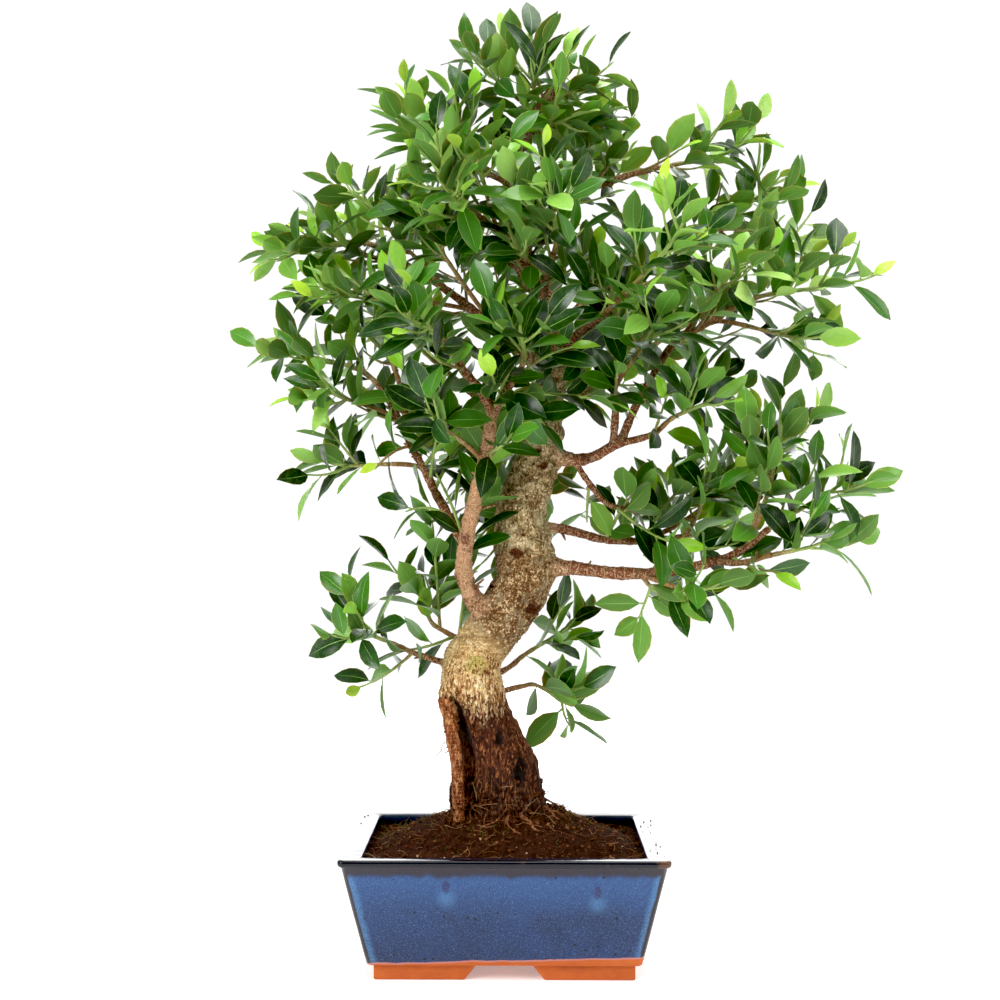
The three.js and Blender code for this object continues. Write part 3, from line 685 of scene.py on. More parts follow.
def fibreTemplate(draw):
    bm = bmesh.new()
    bmesh.ops.create_cone(bm, cap_ends=True, segments=3, radius1=1, radius2=0.6, depth=1)
    bmesh.ops.rotate(bm, cent=(0, 0, 0), matrix=Matrix.Rotation(pi / 2, 3, "Y"), verts=bm.verts)
    long = [e for e in bm.edges if abs(e.verts[0].co.x - e.verts[1].co.x) > 0.5]
    bmesh.ops.subdivide_edges(bm, edges=long, cuts=4)
    bend, wave = draw() - 0.5, draw() * 6
    for vert in bm.verts:
        x = vert.co.x
        y = vert.co.y * 0.02 + bend * x * x + 0.05 * sin(wave + 7 * x)
        vert.co = Vector((x, y, vert.co.z * 0.02 + 0.04 * sin(wave * 2 + 5 * x)))
    return asMesh("fibre", bm)


def addCopy(bm, template, matrix):
    before = len(bm.verts)
    copy = template.copy()
    copy.transform(matrix)
    bm.from_mesh(copy)
    bpy.data.meshes.remove(copy)
    bm.verts.ensure_lookup_table()
    return bm.verts[before:]


def onSoil(draw, spread):
    openLength, openDepth = [side / 2 - 3 for side in pot["opening"]]
    for attempt in range(20):
        x, y = (draw() * 2 - 1) * openLength, (draw() * 2 - 1) * openDepth
        if draw() < spread(x, y):
            break
    return x, y


def turned(draw, lift):
    heading = Matrix.Rotation(draw() * 2 * pi, 4, "Z") @ Matrix.Rotation(-lift, 4, "Y")
    return heading @ Matrix.Rotation(draw() * 2 * pi, 4, "X")


def makeLitter(skin):
    draw = drawsFrom(90)
    bm = bmesh.new()
    shade = bm.verts.layers.float.new("shade")
    crumbs = [crumbTemplate(draw) for kind in range(soil["crumbShapes"])]
    fibres = [fibreTemplate(draw) for kind in range(soil["fibreShapes"])]

    def nearTrunk(x, y):
        return 0.35 + 0.65 * exp(-hypot(x, y) / 60) + 0.6 * exp(-hypot(x - 60, y + 4) / 20)

    def mossy(x, y):
        return max(share * exp(-hypot(x - mossX, y - mossY) / size)
                   for mossX, mossY, size, share in soil["moss"])

    def over(x, y, height):
        return Matrix.Translation((x, y, soilSurface(x, y) + height))

    def lay(templates, number, matrix, tone):
        for vert in addCopy(bm, templates[number % len(templates)], matrix):
            vert[shade] = tone

    for number in range(soil["crumbs"]):
        x, y = onSoil(draw, nearTrunk)
        size = 0.5 + 1.9 * draw() ** 2.5
        stretch = Matrix.Diagonal((size, size * (0.6 + 0.5 * draw()), size * 0.7, 1))
        tone = draw()
        tone = 0.72 if tone > 0.965 else tone * 0.45
        lay(crumbs, number, over(x, y, size * 0.2) @ turned(draw, 0) @ stretch, tone)
    for number in range(soil["fibres"]):
        x, y = onSoil(draw, nearTrunk)
        length = 5 + 17 * draw() ** 2
        lift = (draw() - 0.2) * 0.55
        tone = 0.12 + 0.5 * draw() ** 1.3
        place = over(x, y, length * 0.3 * sin(max(0, lift)) + 0.5)
        lay(fibres, number, place @ turned(draw, lift) @ Matrix.Scale(length, 4), tone)
    for number in range(soil["mossTufts"]):
        x, y = onSoil(draw, mossy)
        length = 2.5 + 4 * draw()
        tone = 0.8 + 0.2 * draw()
        stretch = Matrix.Diagonal((length, length * 3, length * 3, 1))
        lay(fibres, number, over(x, y, length * 0.35) @ turned(draw, 0.7 + 0.8 * draw()) @ stretch, tone)
    for number in range(soil["spilled"]):  # a few crumbs lie on the rim
        side = 1 if number % 4 else -1
        x, y = side * (131 + 16 * draw()), (draw() * 2 - 1) * 96
        size = 0.3 + 0.5 * draw()
        place = Matrix.Translation((x, y, pot["height"] + size * 0.2))
        matrix = place @ turned(draw, 0) @ Matrix.Scale(size, 4)
        for vert in addCopy(bm, crumbs[number % len(crumbs)], matrix):
            vert[shade] = 0.1 * draw()
    for number in range(soil["clinging"]):  # peat and fibres that cling to the trunk's foot
        height = 134 + 38 * draw() ** 1.7
        angle = draw() * 2 * pi
        out = Vector((cos(angle), sin(angle), 0))
        spot = skin.ray_cast(Vector((0, 0, height)) + out * 90, -out)[0]
        if spot is None:
            continue
        tone = draw()
        if number % 3:
            size = 0.8 + 2.2 * draw() ** 2
            stretch = Matrix.Diagonal((size, size * 0.8, size * 0.7, 1))
            lay(crumbs, number, Matrix.Translation(spot) @ turned(draw, 0) @ stretch, tone * 0.3)
        else:
            length = 6 + 15 * draw() ** 1.5
            lean = Matrix.Rotation(angle + (draw() - 0.5) * 2.4, 4, "Z")
            lean = lean @ Matrix.Rotation(-1.3 + 1.5 * draw(), 4, "Y")
            place = Matrix.Translation(spot + out * length * 0.3)
            lay(fibres, number, place @ lean @ Matrix.Scale(length, 4), 0.15 + 0.55 * tone)
    finishPiece("soil_litter", bm, [litterMaterial()])


makeSoil()
print("soil made")


# Wood. The trunk's centre line and half width, from the cut taproot to the old cut under the crown
trunk = {
    "stations": [

        ((0, 0, 62), 20), ((0, 0, 92), 35), ((0, 0, 130), 39), ((-1, 0, 170), 36), ((-11, -1, 204), 31),
        ((-24, -3, 233), 29.5), ((-32, -5, 256), 30), ((-33, -5, 276), 28), ((-25, -3, 295), 26),
        ((-11, -1, 314), 26), ((3, 1, 334), 27), ((15, 4, 352), 26.5), ((21, 6, 372), 28),
        ((19, 6, 395), 27.5), ((15, 5, 418), 25.5), ((18, 4, 439), 23.5), ((26, 2, 459), 22),
        ((32, 1, 477), 21.5), ((36, 0, 493), 19.5), ((39, 1, 508), 17), ((42, 2, 526), 14),
        ((45, 3, 546), 12.4), ((47, 4, 566), 11),
    ],
    "roots": [
        ([(-42, -8, 268), (-56, -16, 250), (-53, -24, 229), (-47, -28, 197), (-44, -28, 160),
          (-42, -29, 100)], (8.2, 6.8)),
        ([(4, -10, 214), (18, -14, 198), (23, -14, 182), (26, -13, 160), (30, -12, 100)], (6.5, 13)),
        ([(-38, -6, 190), (-48, -12, 170), (-50, -14, 155), (-48, -14, 110)], (2.6, 5)),
        ([(-28, 14, 208), (-32, 18, 172), (-34, 20, 100)], (8, 12)),
        ([(20, -6, 112), (62, -22, 94), (98, -44, 74)], (14, 6)),
        ([(-20, -8, 110), (-60, -24, 92), (-92, -46, 70)], (13, 5)),
        ([(-18, 10, 108), (-56, 30, 90), (-84, 52, 72)], (13, 6)),
        ([(14, 12, 108), (48, 34, 88), (88, 54, 66)], (13, 6)),
    ],
    "web": ([(-34, 0, 240), (-40, -3, 205), (-40, -5, 120)], (9, 10)),  # behind the aerial root
    "voxel": 1.45,
    "knots": [  # on the front: across, height, radius and how much taller than wide

        (28, 484, 6, 0.6), (36, 470, 5, 0.8), (34, 497, 4, 0.5), (11.4, 387, 6.6, 0.75), (27, 333, 7, 0.8),
        (17.5, 405, 2.8, 0.8), (14.5, 181, 7, 2), (-6, 212, 3, 3), (-12, 355, 3, 0.6), (2, 440, 2.4, 1.6),
    ],
    "greenSpot": (-28, -30, 280),
    "creases": [
        (491, 0.3), (468, -0.2), (455, 0.1), (408, 0.15), (384, -0.1), (372, 0.3), (322, -0.2), (308, 0),
    ],
    "surfaceRoots": 16,
    "hairs": 46,
    "toneSteps": (0.3, 0.43, 0.56, 0.7),
    "tints": {  # the bark's colours at those steps, dark to light
        "upper": ((92, 66, 37), (150, 123, 79), (200, 174, 124), (248, 230, 190)),
        "lower": ((78, 45, 23), (138, 99, 57), (192, 152, 102), (248, 224, 178)),
        "cream": ((150, 104, 56), (206, 166, 108), (236, 204, 148), (250, 234, 190)),
        "speckled": ((104, 58, 30), (172, 120, 70), (224, 186, 130), (246, 226, 180)),
        "wetAndSheen": ((32, 14, 7), (64, 29, 15), (98, 50, 27), (164, 106, 64)),
        "foot": ((20, 8, 5), (36, 17, 10), (64, 34, 20), (130, 90, 60)),
        "root": ((64, 27, 12), (116, 56, 27), (156, 90, 48), (206, 152, 100)),
        "limb": ((120, 80, 52), (170, 126, 90), (202, 160, 122), (236, 206, 168)),
    },
    "limbColours": [  # by age: 0 is green, 0.4 tan, 0.7 red-brown and 1 pinkish
        (0, 112, 150, 52), (0.2, 138, 146, 76), (0.4, 156, 122, 76), (0.6, 112, 66, 38), (0.75, 122, 66, 40),
        (0.86, 152, 104, 70), (1, 186, 142, 106),
    ],
}

# Limbs: radii at the start and end, the bark's age at both, and the points of the path
limbs = {
    "leader": (13, 4.4, 0.8, 0.66, [
        (38, 1, 488), (42, 2, 520), (45, 4, 556), (49, 5, 592), (44, 4, 622), (30, 2, 642), (18, 0, 664),
        (17, 0, 690), (16, 0, 738), (11, -1, 770), (18, 0, 790), (27, 1, 806), (40, 3, 823), (63, 6, 859),
    ]),
    "frontLeft": (9.5, 5.4, 1, 0.9, [
        (-8, -2, 322), (-29, -11, 342), (-38, -20, 362), (-39, -25, 383), (-34, -30, 411), (-26, -38, 447),
        (-18, -46, 482), (-10, -55, 526),
    ]),
    "frontLeftFork": (4.6, 2.8, 0.85, 0.5, [
        (-11, -54, 520), (-21, -62, 537), (-35, -72, 554), (-46, -82, 572),
    ]),
    "frontRightFork": (4.6, 2.8, 0.85, 0.5, [(-11, -54, 520), (3, -66, 539), (15, -79, 558)]),
    "leftBack": (4.8, 2.9, 0.72, 0.6, [
        (-37, -27, 392), (-51, -12, 417), (-66, 0, 443), (-79, 8, 469), (-95, 16, 498), (-109, 22, 525),
        (-125, 28, 550),
    ]),
    "leftBackFork": (3.4, 2.5, 0.65, 0.5, [(-97, 17, 503), (-99, 20, 536), (-107, 24, 562)]),
    "leftUpper": (6, 3, 0.7, 0.55, [
        (45, 4, 548), (25, 16, 572), (0, 28, 598), (-35, 38, 628), (-75, 45, 658), (-128, 50, 690),
    ]),
    "leftTop": (3.6, 2.5, 0.66, 0.45, [(16, 0, 732), (0, -12, 742), (-20, -26, 753)]),
    "rightUpper": (6.4, 4.4, 0.8, 0.75, [(38, 0, 484), (60, -8, 477), (84, -14, 479), (114, -25, 495)]),
    "rightUpright": (3.9, 2.7, 0.7, 0.6, [
        (103, -21, 488), (104, -29, 522), (101, -37, 556), (101, -44, 586),
    ]),
    "rightSweep": (4.2, 2.7, 0.75, 0.42, [
        (110, -24, 493), (124, -21, 526), (135, -18, 547), (160, -20, 585), (186, -28, 601),
        (218, -37, 620),
    ]),
    "rightInner": (3.2, 2.4, 0.7, 0.45, [(110, -23, 492), (136, -36, 498), (152, -46, 511)]),
    "rightUnder": (3, 2.3, 0.7, 0.5, [(66, -9, 476), (82, -5, 452), (100, 4, 434), (130, 10, 426)]),
    "rightMid": (5.2, 3, 0.82, 0.6, [
        (25, 6, 408), (45, 8, 411), (68, 14, 407), (98, 22, 399), (134, 30, 398), (166, 36, 401),
    ]),
    "rightMidFork": (3, 2.4, 0.6, 0.45, [(138, 31, 398), (168, 46, 412), (204, 56, 434)]),
    "rightLower": (7.4, 3, 0.72, 0.62, [
        (26, 2, 374), (52, 0, 373), (77, -6, 371), (105, -12, 368), (138, -20, 368), (170, -28, 373),
        (198, -34, 380), (223, -40, 392), (246, -46, 411),
    ]),
    "rightLowerFork": (3.3, 2.5, 0.65, 0.4, [(196, -33, 380), (220, -52, 380), (246, -63, 387)]),
    "rightLowerDrop": (2.6, 2.2, 0.6, 0.4, [(128, -18, 368), (144, -31, 361), (158, -42, 357)]),
    "rightLowerRise": (2.8, 2.3, 0.65, 0.45, [(150, -23, 369), (165, -18, 393), (176, -13, 410)]),
    "lowLeftRise": (3.2, 2.4, 0.66, 0.4, [(-20, 6, 298), (-45, 16, 303), (-66, 22, 313)]),
    "lowLeft": (3.2, 2.4, 0.7, 0.5, [(-30, 0, 274), (-60, 0, 281), (-84, -2, 289), (-102, -8, 298)]),
    "lowRightRise": (3, 2.4, 0.7, 0.45, [(-14, 6, 268), (0, 26, 271), (12, 36, 280)]),
    "lowRight": (3, 2.4, 0.66, 0.4, [(-12, 6, 250), (6, 24, 253), (22, 32, 256)]),
    "back": (5.8, 3, 0.7, 0.5, [(42, 6, 518), (42, 40, 540), (38, 75, 572), (34, 106, 606)]),
    "backLeft": (5.4, 3, 0.7, 0.5, [(30, 4, 472), (8, 38, 502), (-25, 75, 538), (-56, 103, 566)]),
    "backRight": (5.8, 3, 0.7, 0.5, [(41, 4, 508), (70, 40, 536), (110, 80, 566), (150, 108, 596)]),
    "backLow": (4.4, 2.7, 0.7, 0.5, [(16, 8, 430), (13, 45, 432), (6, 82, 442)]),
    "frontRight": (4.8, 2.7, 0.7, 0.5, [(48, 4, 578), (66, -28, 592), (90, -58, 608), (106, -78, 622)]),
    "frontMiddle": (3.8, 2.6, 0.7, 0.5, [(37, 3, 632), (40, -30, 647), (46, -62, 666)]),
    "rightTop": (4.4, 2.6, 0.7, 0.5, [
        (17, 0, 700), (45, 13, 720), (82, 24, 742), (122, 32, 758), (152, 36, 766),
    ]),
    "right": (5, 2.8, 0.7, 0.5, [
        (49, 5, 598), (80, 28, 634), (118, 45, 664), (165, 58, 692), (202, 65, 707),
    ]),
    "backLeftTop": (4.2, 2.6, 0.7, 0.5, [(19, 0, 661), (-10, 38, 680), (-38, 72, 697)]),
    "backTop": (3.5, 2.5, 0.7, 0.5, [(17, 0, 722), (24, 38, 740), (34, 64, 754)]),
    "frontLeftTop": (3.6, 2.6, 0.7, 0.5, [(17, 0, 682), (-4, -35, 690), (-24, -62, 700)]),
}


def throughPoints(points):  # a smooth path through the points, for a share of its length from 0 to 1
    spots = [Vector(point) for point in points]

    def at(share):
        place = min(max(share, 0), 1) * (len(spots) - 1)
        lower = min(int(place), len(spots) - 2)
        t = place - lower
        start, end = spots[lower], spots[lower + 1]
        before = spots[lower - 1] if lower > 0 else start * 2 - end
        after = spots[lower + 2] if lower + 2 < len(spots) else end * 2 - start
        leaving, arriving = (end - before) / 2, (after - start) / 2
        square = (end - start) * 3 - leaving * 2 - arriving
        cube = (start - end) * 2 + leaving + arriving
        return start + leaving * t + square * t * t + cube * t ** 3

    return at


def heading(path, share):
    step = 0.0001
    return (path(min(share + step, 1)) - path(max(share - step, 0))).normalized()


def lengthOf(path):
    return sum((path((step + 1) / 20) - path(step / 20)).length for step in range(20))


for name, (start, end, ageStart, ageEnd, points) in limbs.items():
    path = throughPoints(points)
    limbs[name] = {"path": path, "length": lengthOf(path), "radii": (start, end), "ages": (ageStart, ageEnd)}


def trunkPoint(height):  # the middle of the trunk at a height, and its half width there
    stations = trunk["stations"]
    for (low, lowHalf), (high, highHalf) in zip(stations, stations[1:]):
        if height <= high[2]:
            share = max(0, (height - low[2]) / (high[2] - low[2]))
            return Vector(low).lerp(Vector(high), share), mix(lowHalf, highHalf, share)
    return Vector(stations[-1][0]), stations[-1][1]


def flakes(place, size, tall, seed):  # bark flakes: a random lightness and how near each one's edge is
    wander = addNode("TexNoise", {"Vector": place, "Scale": 300, "Detail": 2.0}, "Color")
    wander = addNode("VectorMath", {0: wander, 1: (0.5 + seed, 0.5, 0.5)}, operation="SUBTRACT")
    sway = (size * 1.6, size * 1.6, size * tall)
    moved = addNode("VectorMath", {0: wander, 1: sway, 2: place}, operation="MULTIPLY_ADD")
    slim = addNode("Mapping", {"Vector": moved, "Scale": (1, 1, 1 / tall)})
    tone = addNode("SeparateColor", {0: cells(slim, 1 / size, "Color")})
    return tone, cells(slim, 1 / size, feature="DISTANCE_TO_EDGE")


def trunkBark():
    material = startMaterial("trunkBark", {"Roughness": 0.85, "Specular IOR Level": 0.2})
    place = objectPlace()
    sides = axes(place)
    across, height = sides["X"], sides["Z"]
    longTone, longEdge = flakes(place, 0.0015, 2.6, 0)
    fineTone, fineEdge = flakes(place, 0.0015, 1.3, 7)
    curls = grain(place, 300, 3, 0.7, 2.5)
    strands = grain(objectPlace((1, 1, 0.22)), 460, 3, 0.65)
    wrinkles = grain(objectPlace((0.2, 0.2, 1)), 420, 3, 0.65, 0.6)
    patch = grain(place, 30, 5, 0.65)
    wander = minus(patch, 0.5)

    def zone(low, high, wave=0.06, flake=0.03):  # 0 to 1 between two heights, with a ragged edge
        ragged = timesPlus(wander, wave, height)
        ragged = timesPlus(minus(longTone, 0.5), flake, ragged)
        return between(ragged, low / 1000, high / 1000)

    drips = zone(300, 262)  # the flakes are upright by the soil, and small and round above it
    strokes = blend(zone(372, 384), blend(zone(322, 300), curls, wrinkles), strands)
    strokes = layered(strokes, [(between(patch, 0.54, 0.6, 0, 0.8), wrinkles), (drips, strands)])
    tone = timesPlus(blend(drips, fineTone, longTone), 0.3, times(strokes, 0.7))
    tone = timesPlus(wander, 0.55, tone)

    def tinted(name):
        return ramp(tone, [(step, *colour) for step, colour in zip(trunk["toneSteps"], trunk["tints"][name])])

    # wet bark: darker patches, and lighter patches that are painted highlights
    wetAndSheen = layered(tinted("wetAndSheen"), [
        (between(patch, 0.5, 0.62, 0, 0.65), paint(46, 20, 11)),
        (between(patch, 0.47, 0.38, 0, 0.4), paint(132, 74, 40)),
    ])
    blotch = grain(objectPlace((1, 1, 0.6)), 95, 3, 0.6)
    slanted = plus(timesPlus(across, 0.9, 0.027), timesPlus(wander, 0.06, height))
    slanted = timesPlus(fineTone, 0.02, slanted)
    # painted shade: right of the cream band's slanted edge and below about 370 mm, the darker flakes are
    # painted darker brown
    shade = times(between(slanted, 0.318, 0.35, 0, 0.42), zone(392, 350))
    green = farFrom(place, [step / 1000 for step in trunk["greenSpot"]])
    rootShare = attribute("root")
    rings = sine(timesPlus(patch, 30, times(height, 1900)))
    rings = times(between(rings, 0.8, 1), between(curls, 0.4, 0.6, 0, 0.5))
    scar = blend(between(curls, 0.42, 0.62), paint(46, 20, 9), paint(120, 66, 33))
    crack = between(blend(drips, fineEdge, longEdge), 0.02, 0.16)
    layers = [
        (between(patch, 0.52, 0.7, 0, 0.25), paint(128, 110, 68)),
        (between(blotch, 0.52, 0.68, 0, 0.5), paint(104, 70, 38)),
        (between(blotch, 0.48, 0.34, 0, 0.5), paint(214, 198, 158)),
        (times(shade, between(tone, 0.62, 0.46)), paint(84, 50, 26)),
        (between(slanted, 0.342, 0.312), tinted("cream")),
        (between(timesPlus(wander, 0.03, green), 0.013, 0.006, 0, 0.6), paint(182, 176, 84)),
        (zone(284, 262), tinted("speckled")),
        (zone(256, 232, 0.05, 0.016), wetAndSheen),
        (zone(186, 152, 0.08), tinted("foot")),
        (between(rootShare, 0.3, 0.7, 0, 0.95), blend(rings, tinted("root"), paint(222, 176, 124))),
        # painted shade: below about 250 mm the knot hollows and the moat beside the aerial root are painted
        # near-black; higher knots get a scar colour
        (attribute("knotAndHollowShade"), blend(zone(256, 240), scar, paint(16, 7, 4))),
        (attribute("limb"), tinted("limb")),
    ]
    # painted shade: a dark line is painted along each crease that makeTrunk presses into the bark
    for level, slope in trunk["creases"]:
        wave = timesPlus(across, -slope, timesPlus(wander, 0.04, height))
        off = maths("ABSOLUTE", minus(timesPlus(curls, 0.005, wave), level / 1000 + 0.0025))
        line = times(between(off, 0.0024, 0.0003), between(patch, 0.4, 0.56, 0, 0.6))
        layers.append((line, paint(92, 58, 32)))
    # painted shade: the cracks between the bark flakes are painted dark, less so on the aerial root
    layers.append((times(minus(1, crack), between(rootShare, 0.2, 0.6, 0.35, 0.1)), paint(48, 30, 15)))
    plug("Base Color", layered(blend(zone(400, 372), tinted("upper"), tinted("lower")), layers))
    plug("Roughness", between(height, 0.17, 0.27, 0.62, 0.88))
    addBump(timesPlus(tone, 1.2, times(crack, 0.5)), 0.0015, 0.9)
    return material


def limbBark():  # "along" is the way along the limb in metres
    material = startMaterial("limbBark", {"Roughness": 0.75, "Specular IOR Level": 0.28})
    place = objectPlace()
    age = attribute("age")
    fine = grain(place, 420, 4, 0.65)
    patch = grain(place, 60, 3)
    tone, edge = flakes(place, 0.0013, 1.3, 3)
    old = between(age, 0.3, 0.6)
    dots = times(between(tone, 0.5, 0.62), between(edge, 0.06, 0.2))
    dots = times(dots, between(age, 0.42, 0.66, 0, 0.75))
    way = timesPlus(patch, 5, times(attribute("along"), 700))
    ring = times(between(sine(way), 0.9, 0.99, 0, 0.55), old)
    plug("Base Color", layered(ramp(age, trunk["limbColours"]), [
        (times(between(fine, 0.52, 0.34, 0, 0.7), old), paint(66, 32, 18)),
        (between(patch, 0.5, 0.7, 0, 0.4), paint(134, 108, 74)),
        (dots, paint(224, 190, 150)),
        (ring, paint(206, 168, 124)),
    ]))
    addBump(plus(fine, plus(dots, ring)), 0.001, 0.9)
    return material


def rise(vert):  # how far the trunk's bark stands out at a point
    place = vert.co
    height = place.z
    lump = noise.noise(place / 31) * 2.4 + noise.noise(place / 13) * 1.1
    stretched = Vector((place.x / 7, place.y / 7, place.z / 40))
    groove = -abs(noise.noise(stretched)) * 4.2 * ease(height, 268, 220)
    flake = noise.noise(Vector((place.x / 3.4, place.y / 3.4, place.z / 6))) * 0.7
    flake += noise.noise(place / 1.8) * 0.3
    band = ease(height, 240, 256) * ease(height, 330, 305)
    wrinkle = sin((height + 0.25 * place.x + 6 * noise.noise(place / 20)) * 1.5) * 0.4 * band
    fold = sin((height + 0.2 * place.x + 22 * noise.noise(place / 40)) * 0.42) * 1.1 * ease(height, 340, 385)
    ridge = 0.5 - abs(noise.noise(Vector((place.x / 9, place.y / 9, place.z / 34))))
    ridge = ridge * 2.6 * ease(height, 330, 390)
    return lump + groove + flake + wrinkle + fold + ridge


def limbStubs():  # the flared start of each limb that leaves the trunk, and places and radii along it
    paths, stubs = [], []
    for limb in limbs.values():
        path, length, start = limb["path"], limb["length"], limb["radii"][0]
        out = [step * 1.5 for step in range(60) if step * 1.5 < length]
        clear = [d for d in out if outsideTrunk(path(d / length)) > -2]
        if outsideTrunk(path(0)) > 0 or not clear:
            continue
        leave = clear[0]
        reach = [d for d in out if leave - 14 < d < leave + start * 2.6]
        flare = [start * (1 + 0.8 * exp(-max(0, d - leave + 2) / (start * 0.8))) - 0.15 for d in reach]
        paths.append(([path(d / length) for d in reach], flare))
        stubs += [(path(d / length), start) for d in reach if d > leave]
    return paths, stubs


def makeTrunk():
    line = throughPoints([place for place, half in trunk["stations"]])
    halves = throughPoints([(half, 0, 0) for place, half in trunk["stations"]])
    shares = [step / 76 for step in range(77)]
    paths = [([line(share) for share in shares], [halves(share).x for share in shares])]
    rootSpots = []  # places on the roots, those of the aerial root first
    for number, (points, (start, end)) in enumerate(trunk["roots"]):
        path = throughPoints(points)
        shares = [step / 24 for step in range(25)]
        wobble = [1 + 0.22 * noise.noise(path(share) / 12) for share in shares]
        radii = [mix(start, end, share) * w for share, w in zip(shares, wobble)]
        if number == 0:  # the aerial root starts with a rounded knuckle
            knuckle = [0.92 + 0.42 * exp(-((share - 0.19) / 0.06) ** 2) for share in shares]
            radii = [radius * swell for radius, swell in zip(radii, knuckle)]
        paths.append(([path(share) for share in shares], radii))
        rootSpots += paths[-1][0]
    points, (start, end) = trunk["web"]
    path = throughPoints(points)
    shares = [step / 12 for step in range(13)]
    paths.append(([path(share) for share in shares], [mix(start, end, share) for share in shares]))
    stubPaths, stubs = limbStubs()
    aerialSpots = len(paths[1][0])
    nearRoot, nearLimb = nearestOf(rootSpots), nearestOf([place for place, radius in stubs])
    bm = settled(tubes(paths + stubPaths, 24), [
        ("REMESH", {"mode": "VOXEL", "voxel_size": trunk["voxel"]}),
        ("SMOOTH", {"factor": 0.5, "iterations": 3}),
    ])
    bm.normal_update()
    knotAndHollowShade, root, limb = [bm.verts.layers.float.new(name) for name in ("knotAndHollowShade", "root", "limb")]
    moved = []
    for vert in bm.verts:
        out = rise(vert)
        index, distance = nearLimb(vert.co)[1:]
        vert[limb] = ease(distance, stubs[index][1] * 2.1, stubs[index][1] * 1.15)
        out *= 1 - 0.75 * vert[limb]
        index, distance = nearRoot(vert.co)[1:]
        if index < aerialSpots:
            low = ease(vert.co.z, 262, 248)
            onRoot = ease(distance, 9.5, 8)
            vert[root] = onRoot * low
            ring = sin(vert.co.z * 1.7 + 5 * noise.noise(vert.co / 25))
            ring *= 0.1 + 0.5 * abs(noise.noise(vert.co / 9))
            moat = ease(distance, 20, 12) * low * (1 - onRoot) * ease(vert.co.z, 256, 244)
            out = mix(out, ring + out * 0.4, vert[root]) - 5 * moat
            # the sunk moat is marked so that trunkBark paints it near-black as painted shade
            vert[knotAndHollowShade] = 0.97 * moat
        for x, z, size, tall in trunk["knots"] if vert.normal.y < -0.1 else ():
            away = hypot(vert.co.x - x, (vert.co.z - z) / tall) * (1 + 0.5 * noise.noise(vert.co / 4))
            out += 1.4 * exp(-((away - size * 1.2) / 2) ** 2) - 0.5 * size * exp(-(away / (size * 0.6)) ** 2)
            vert[knotAndHollowShade] = max(vert[knotAndHollowShade], ease(away, size * 1.15, size * 0.75))
        for level, slope in trunk["creases"]:
            bent = level + slope * vert.co.x + 7 * noise.noise(vert.co / 22)
            out -= 1.1 * exp(-((vert.co.z - bent) / 1.4) ** 2)
        moved.append(vert.co + vert.normal * out)
    for vert, place in zip(bm.verts, moved):
        vert.co = place
    skin = BVHTree.FromBMesh(bm)
    finishPiece("trunk_and_roots", bm, [trunkBark()], ["wood"])
    return skin


def makeRootlets():  # thin roots over the soil round the trunk's foot, and hairs on its wet bark
    draw = drawsFrom(510)
    paths = []
    for number in range(trunk["surfaceRoots"]):
        angle = (number + draw() * 0.7) * 2 * pi / trunk["surfaceRoots"]
        length, thick = 22 + 40 * draw(), 1.2 + 1.9 * draw() ** 2
        places, radii = [], []
        for step in range(12):
            share = step / 11
            away = 31 + length * share
            turn = angle + 0.35 * noise.noise(Vector((number * 3.1, share * 2, 0)))
            x, y = away * cos(turn), away * sin(turn) * 0.85
            lift = thick * 0.5 + 13 * (1 - share) ** 4 - 2.5 * share ** 3
            places.append(Vector((x, y, soilSurface(x, y) + lift)))
            radii.append(thick * (1 - 0.6 * share))
        paths.append((places, radii))
    for number in range(trunk["hairs"]):
        height = 140 + 118 * draw() ** 1.6
        middle, half = trunkPoint(height)
        angle = draw() * 2 * pi
        out = Vector((cos(angle), sin(angle) * 0.92, 0))
        base = middle + out * (half - 2)
        if number < 9:
            base = Vector((-55 + 8 * draw(), -18 - 8 * draw(), 196 + 44 * draw()))
            out = Vector((-1, -0.6 + draw(), 0)).normalized()
        length = 6 + 18 * draw() ** 2
        bend = Vector((draw() - 0.5, draw() - 0.5, -0.7 - draw())) * length * 0.6
        path = bezier(base, base + out * length * 0.7, base + out * length * 0.8 + bend)
        paths.append(([path(step / 5) for step in range(6)], [0.5 - 0.05 * step for step in range(6)]))
    bm = tubes(paths, 6)
    bm.normal_update()
    for vert in bm.verts:
        vert.co += vert.normal * noise.noise(vert.co / 3) * 0.25
    finishPiece("rootlets", bm, [rootletBark()])


def rootletBark():
    material = startMaterial("rootletBark", {"Roughness": 0.8, "Specular IOR Level": 0.25})
    fine = grain(objectPlace(), 420, 4, 0.7)
    plug("Base Color", ramp(fine, [(0.35, 58, 28, 16), (0.5, 108, 62, 36), (0.68, 170, 122, 80)]))
    addBump(fine, 0.001, 0.8)
    return material


def nearestOf(places):  # finds the nearest of the places: its place, number and distance
    tree = KDTree(len(places))
    for number, place in enumerate(places):
        tree.insert(place, number)
    tree.balance()
    return tree.find


def outsideTrunk(place):
    middle, half = trunkPoint(place.z)
    return (place - middle).length - half


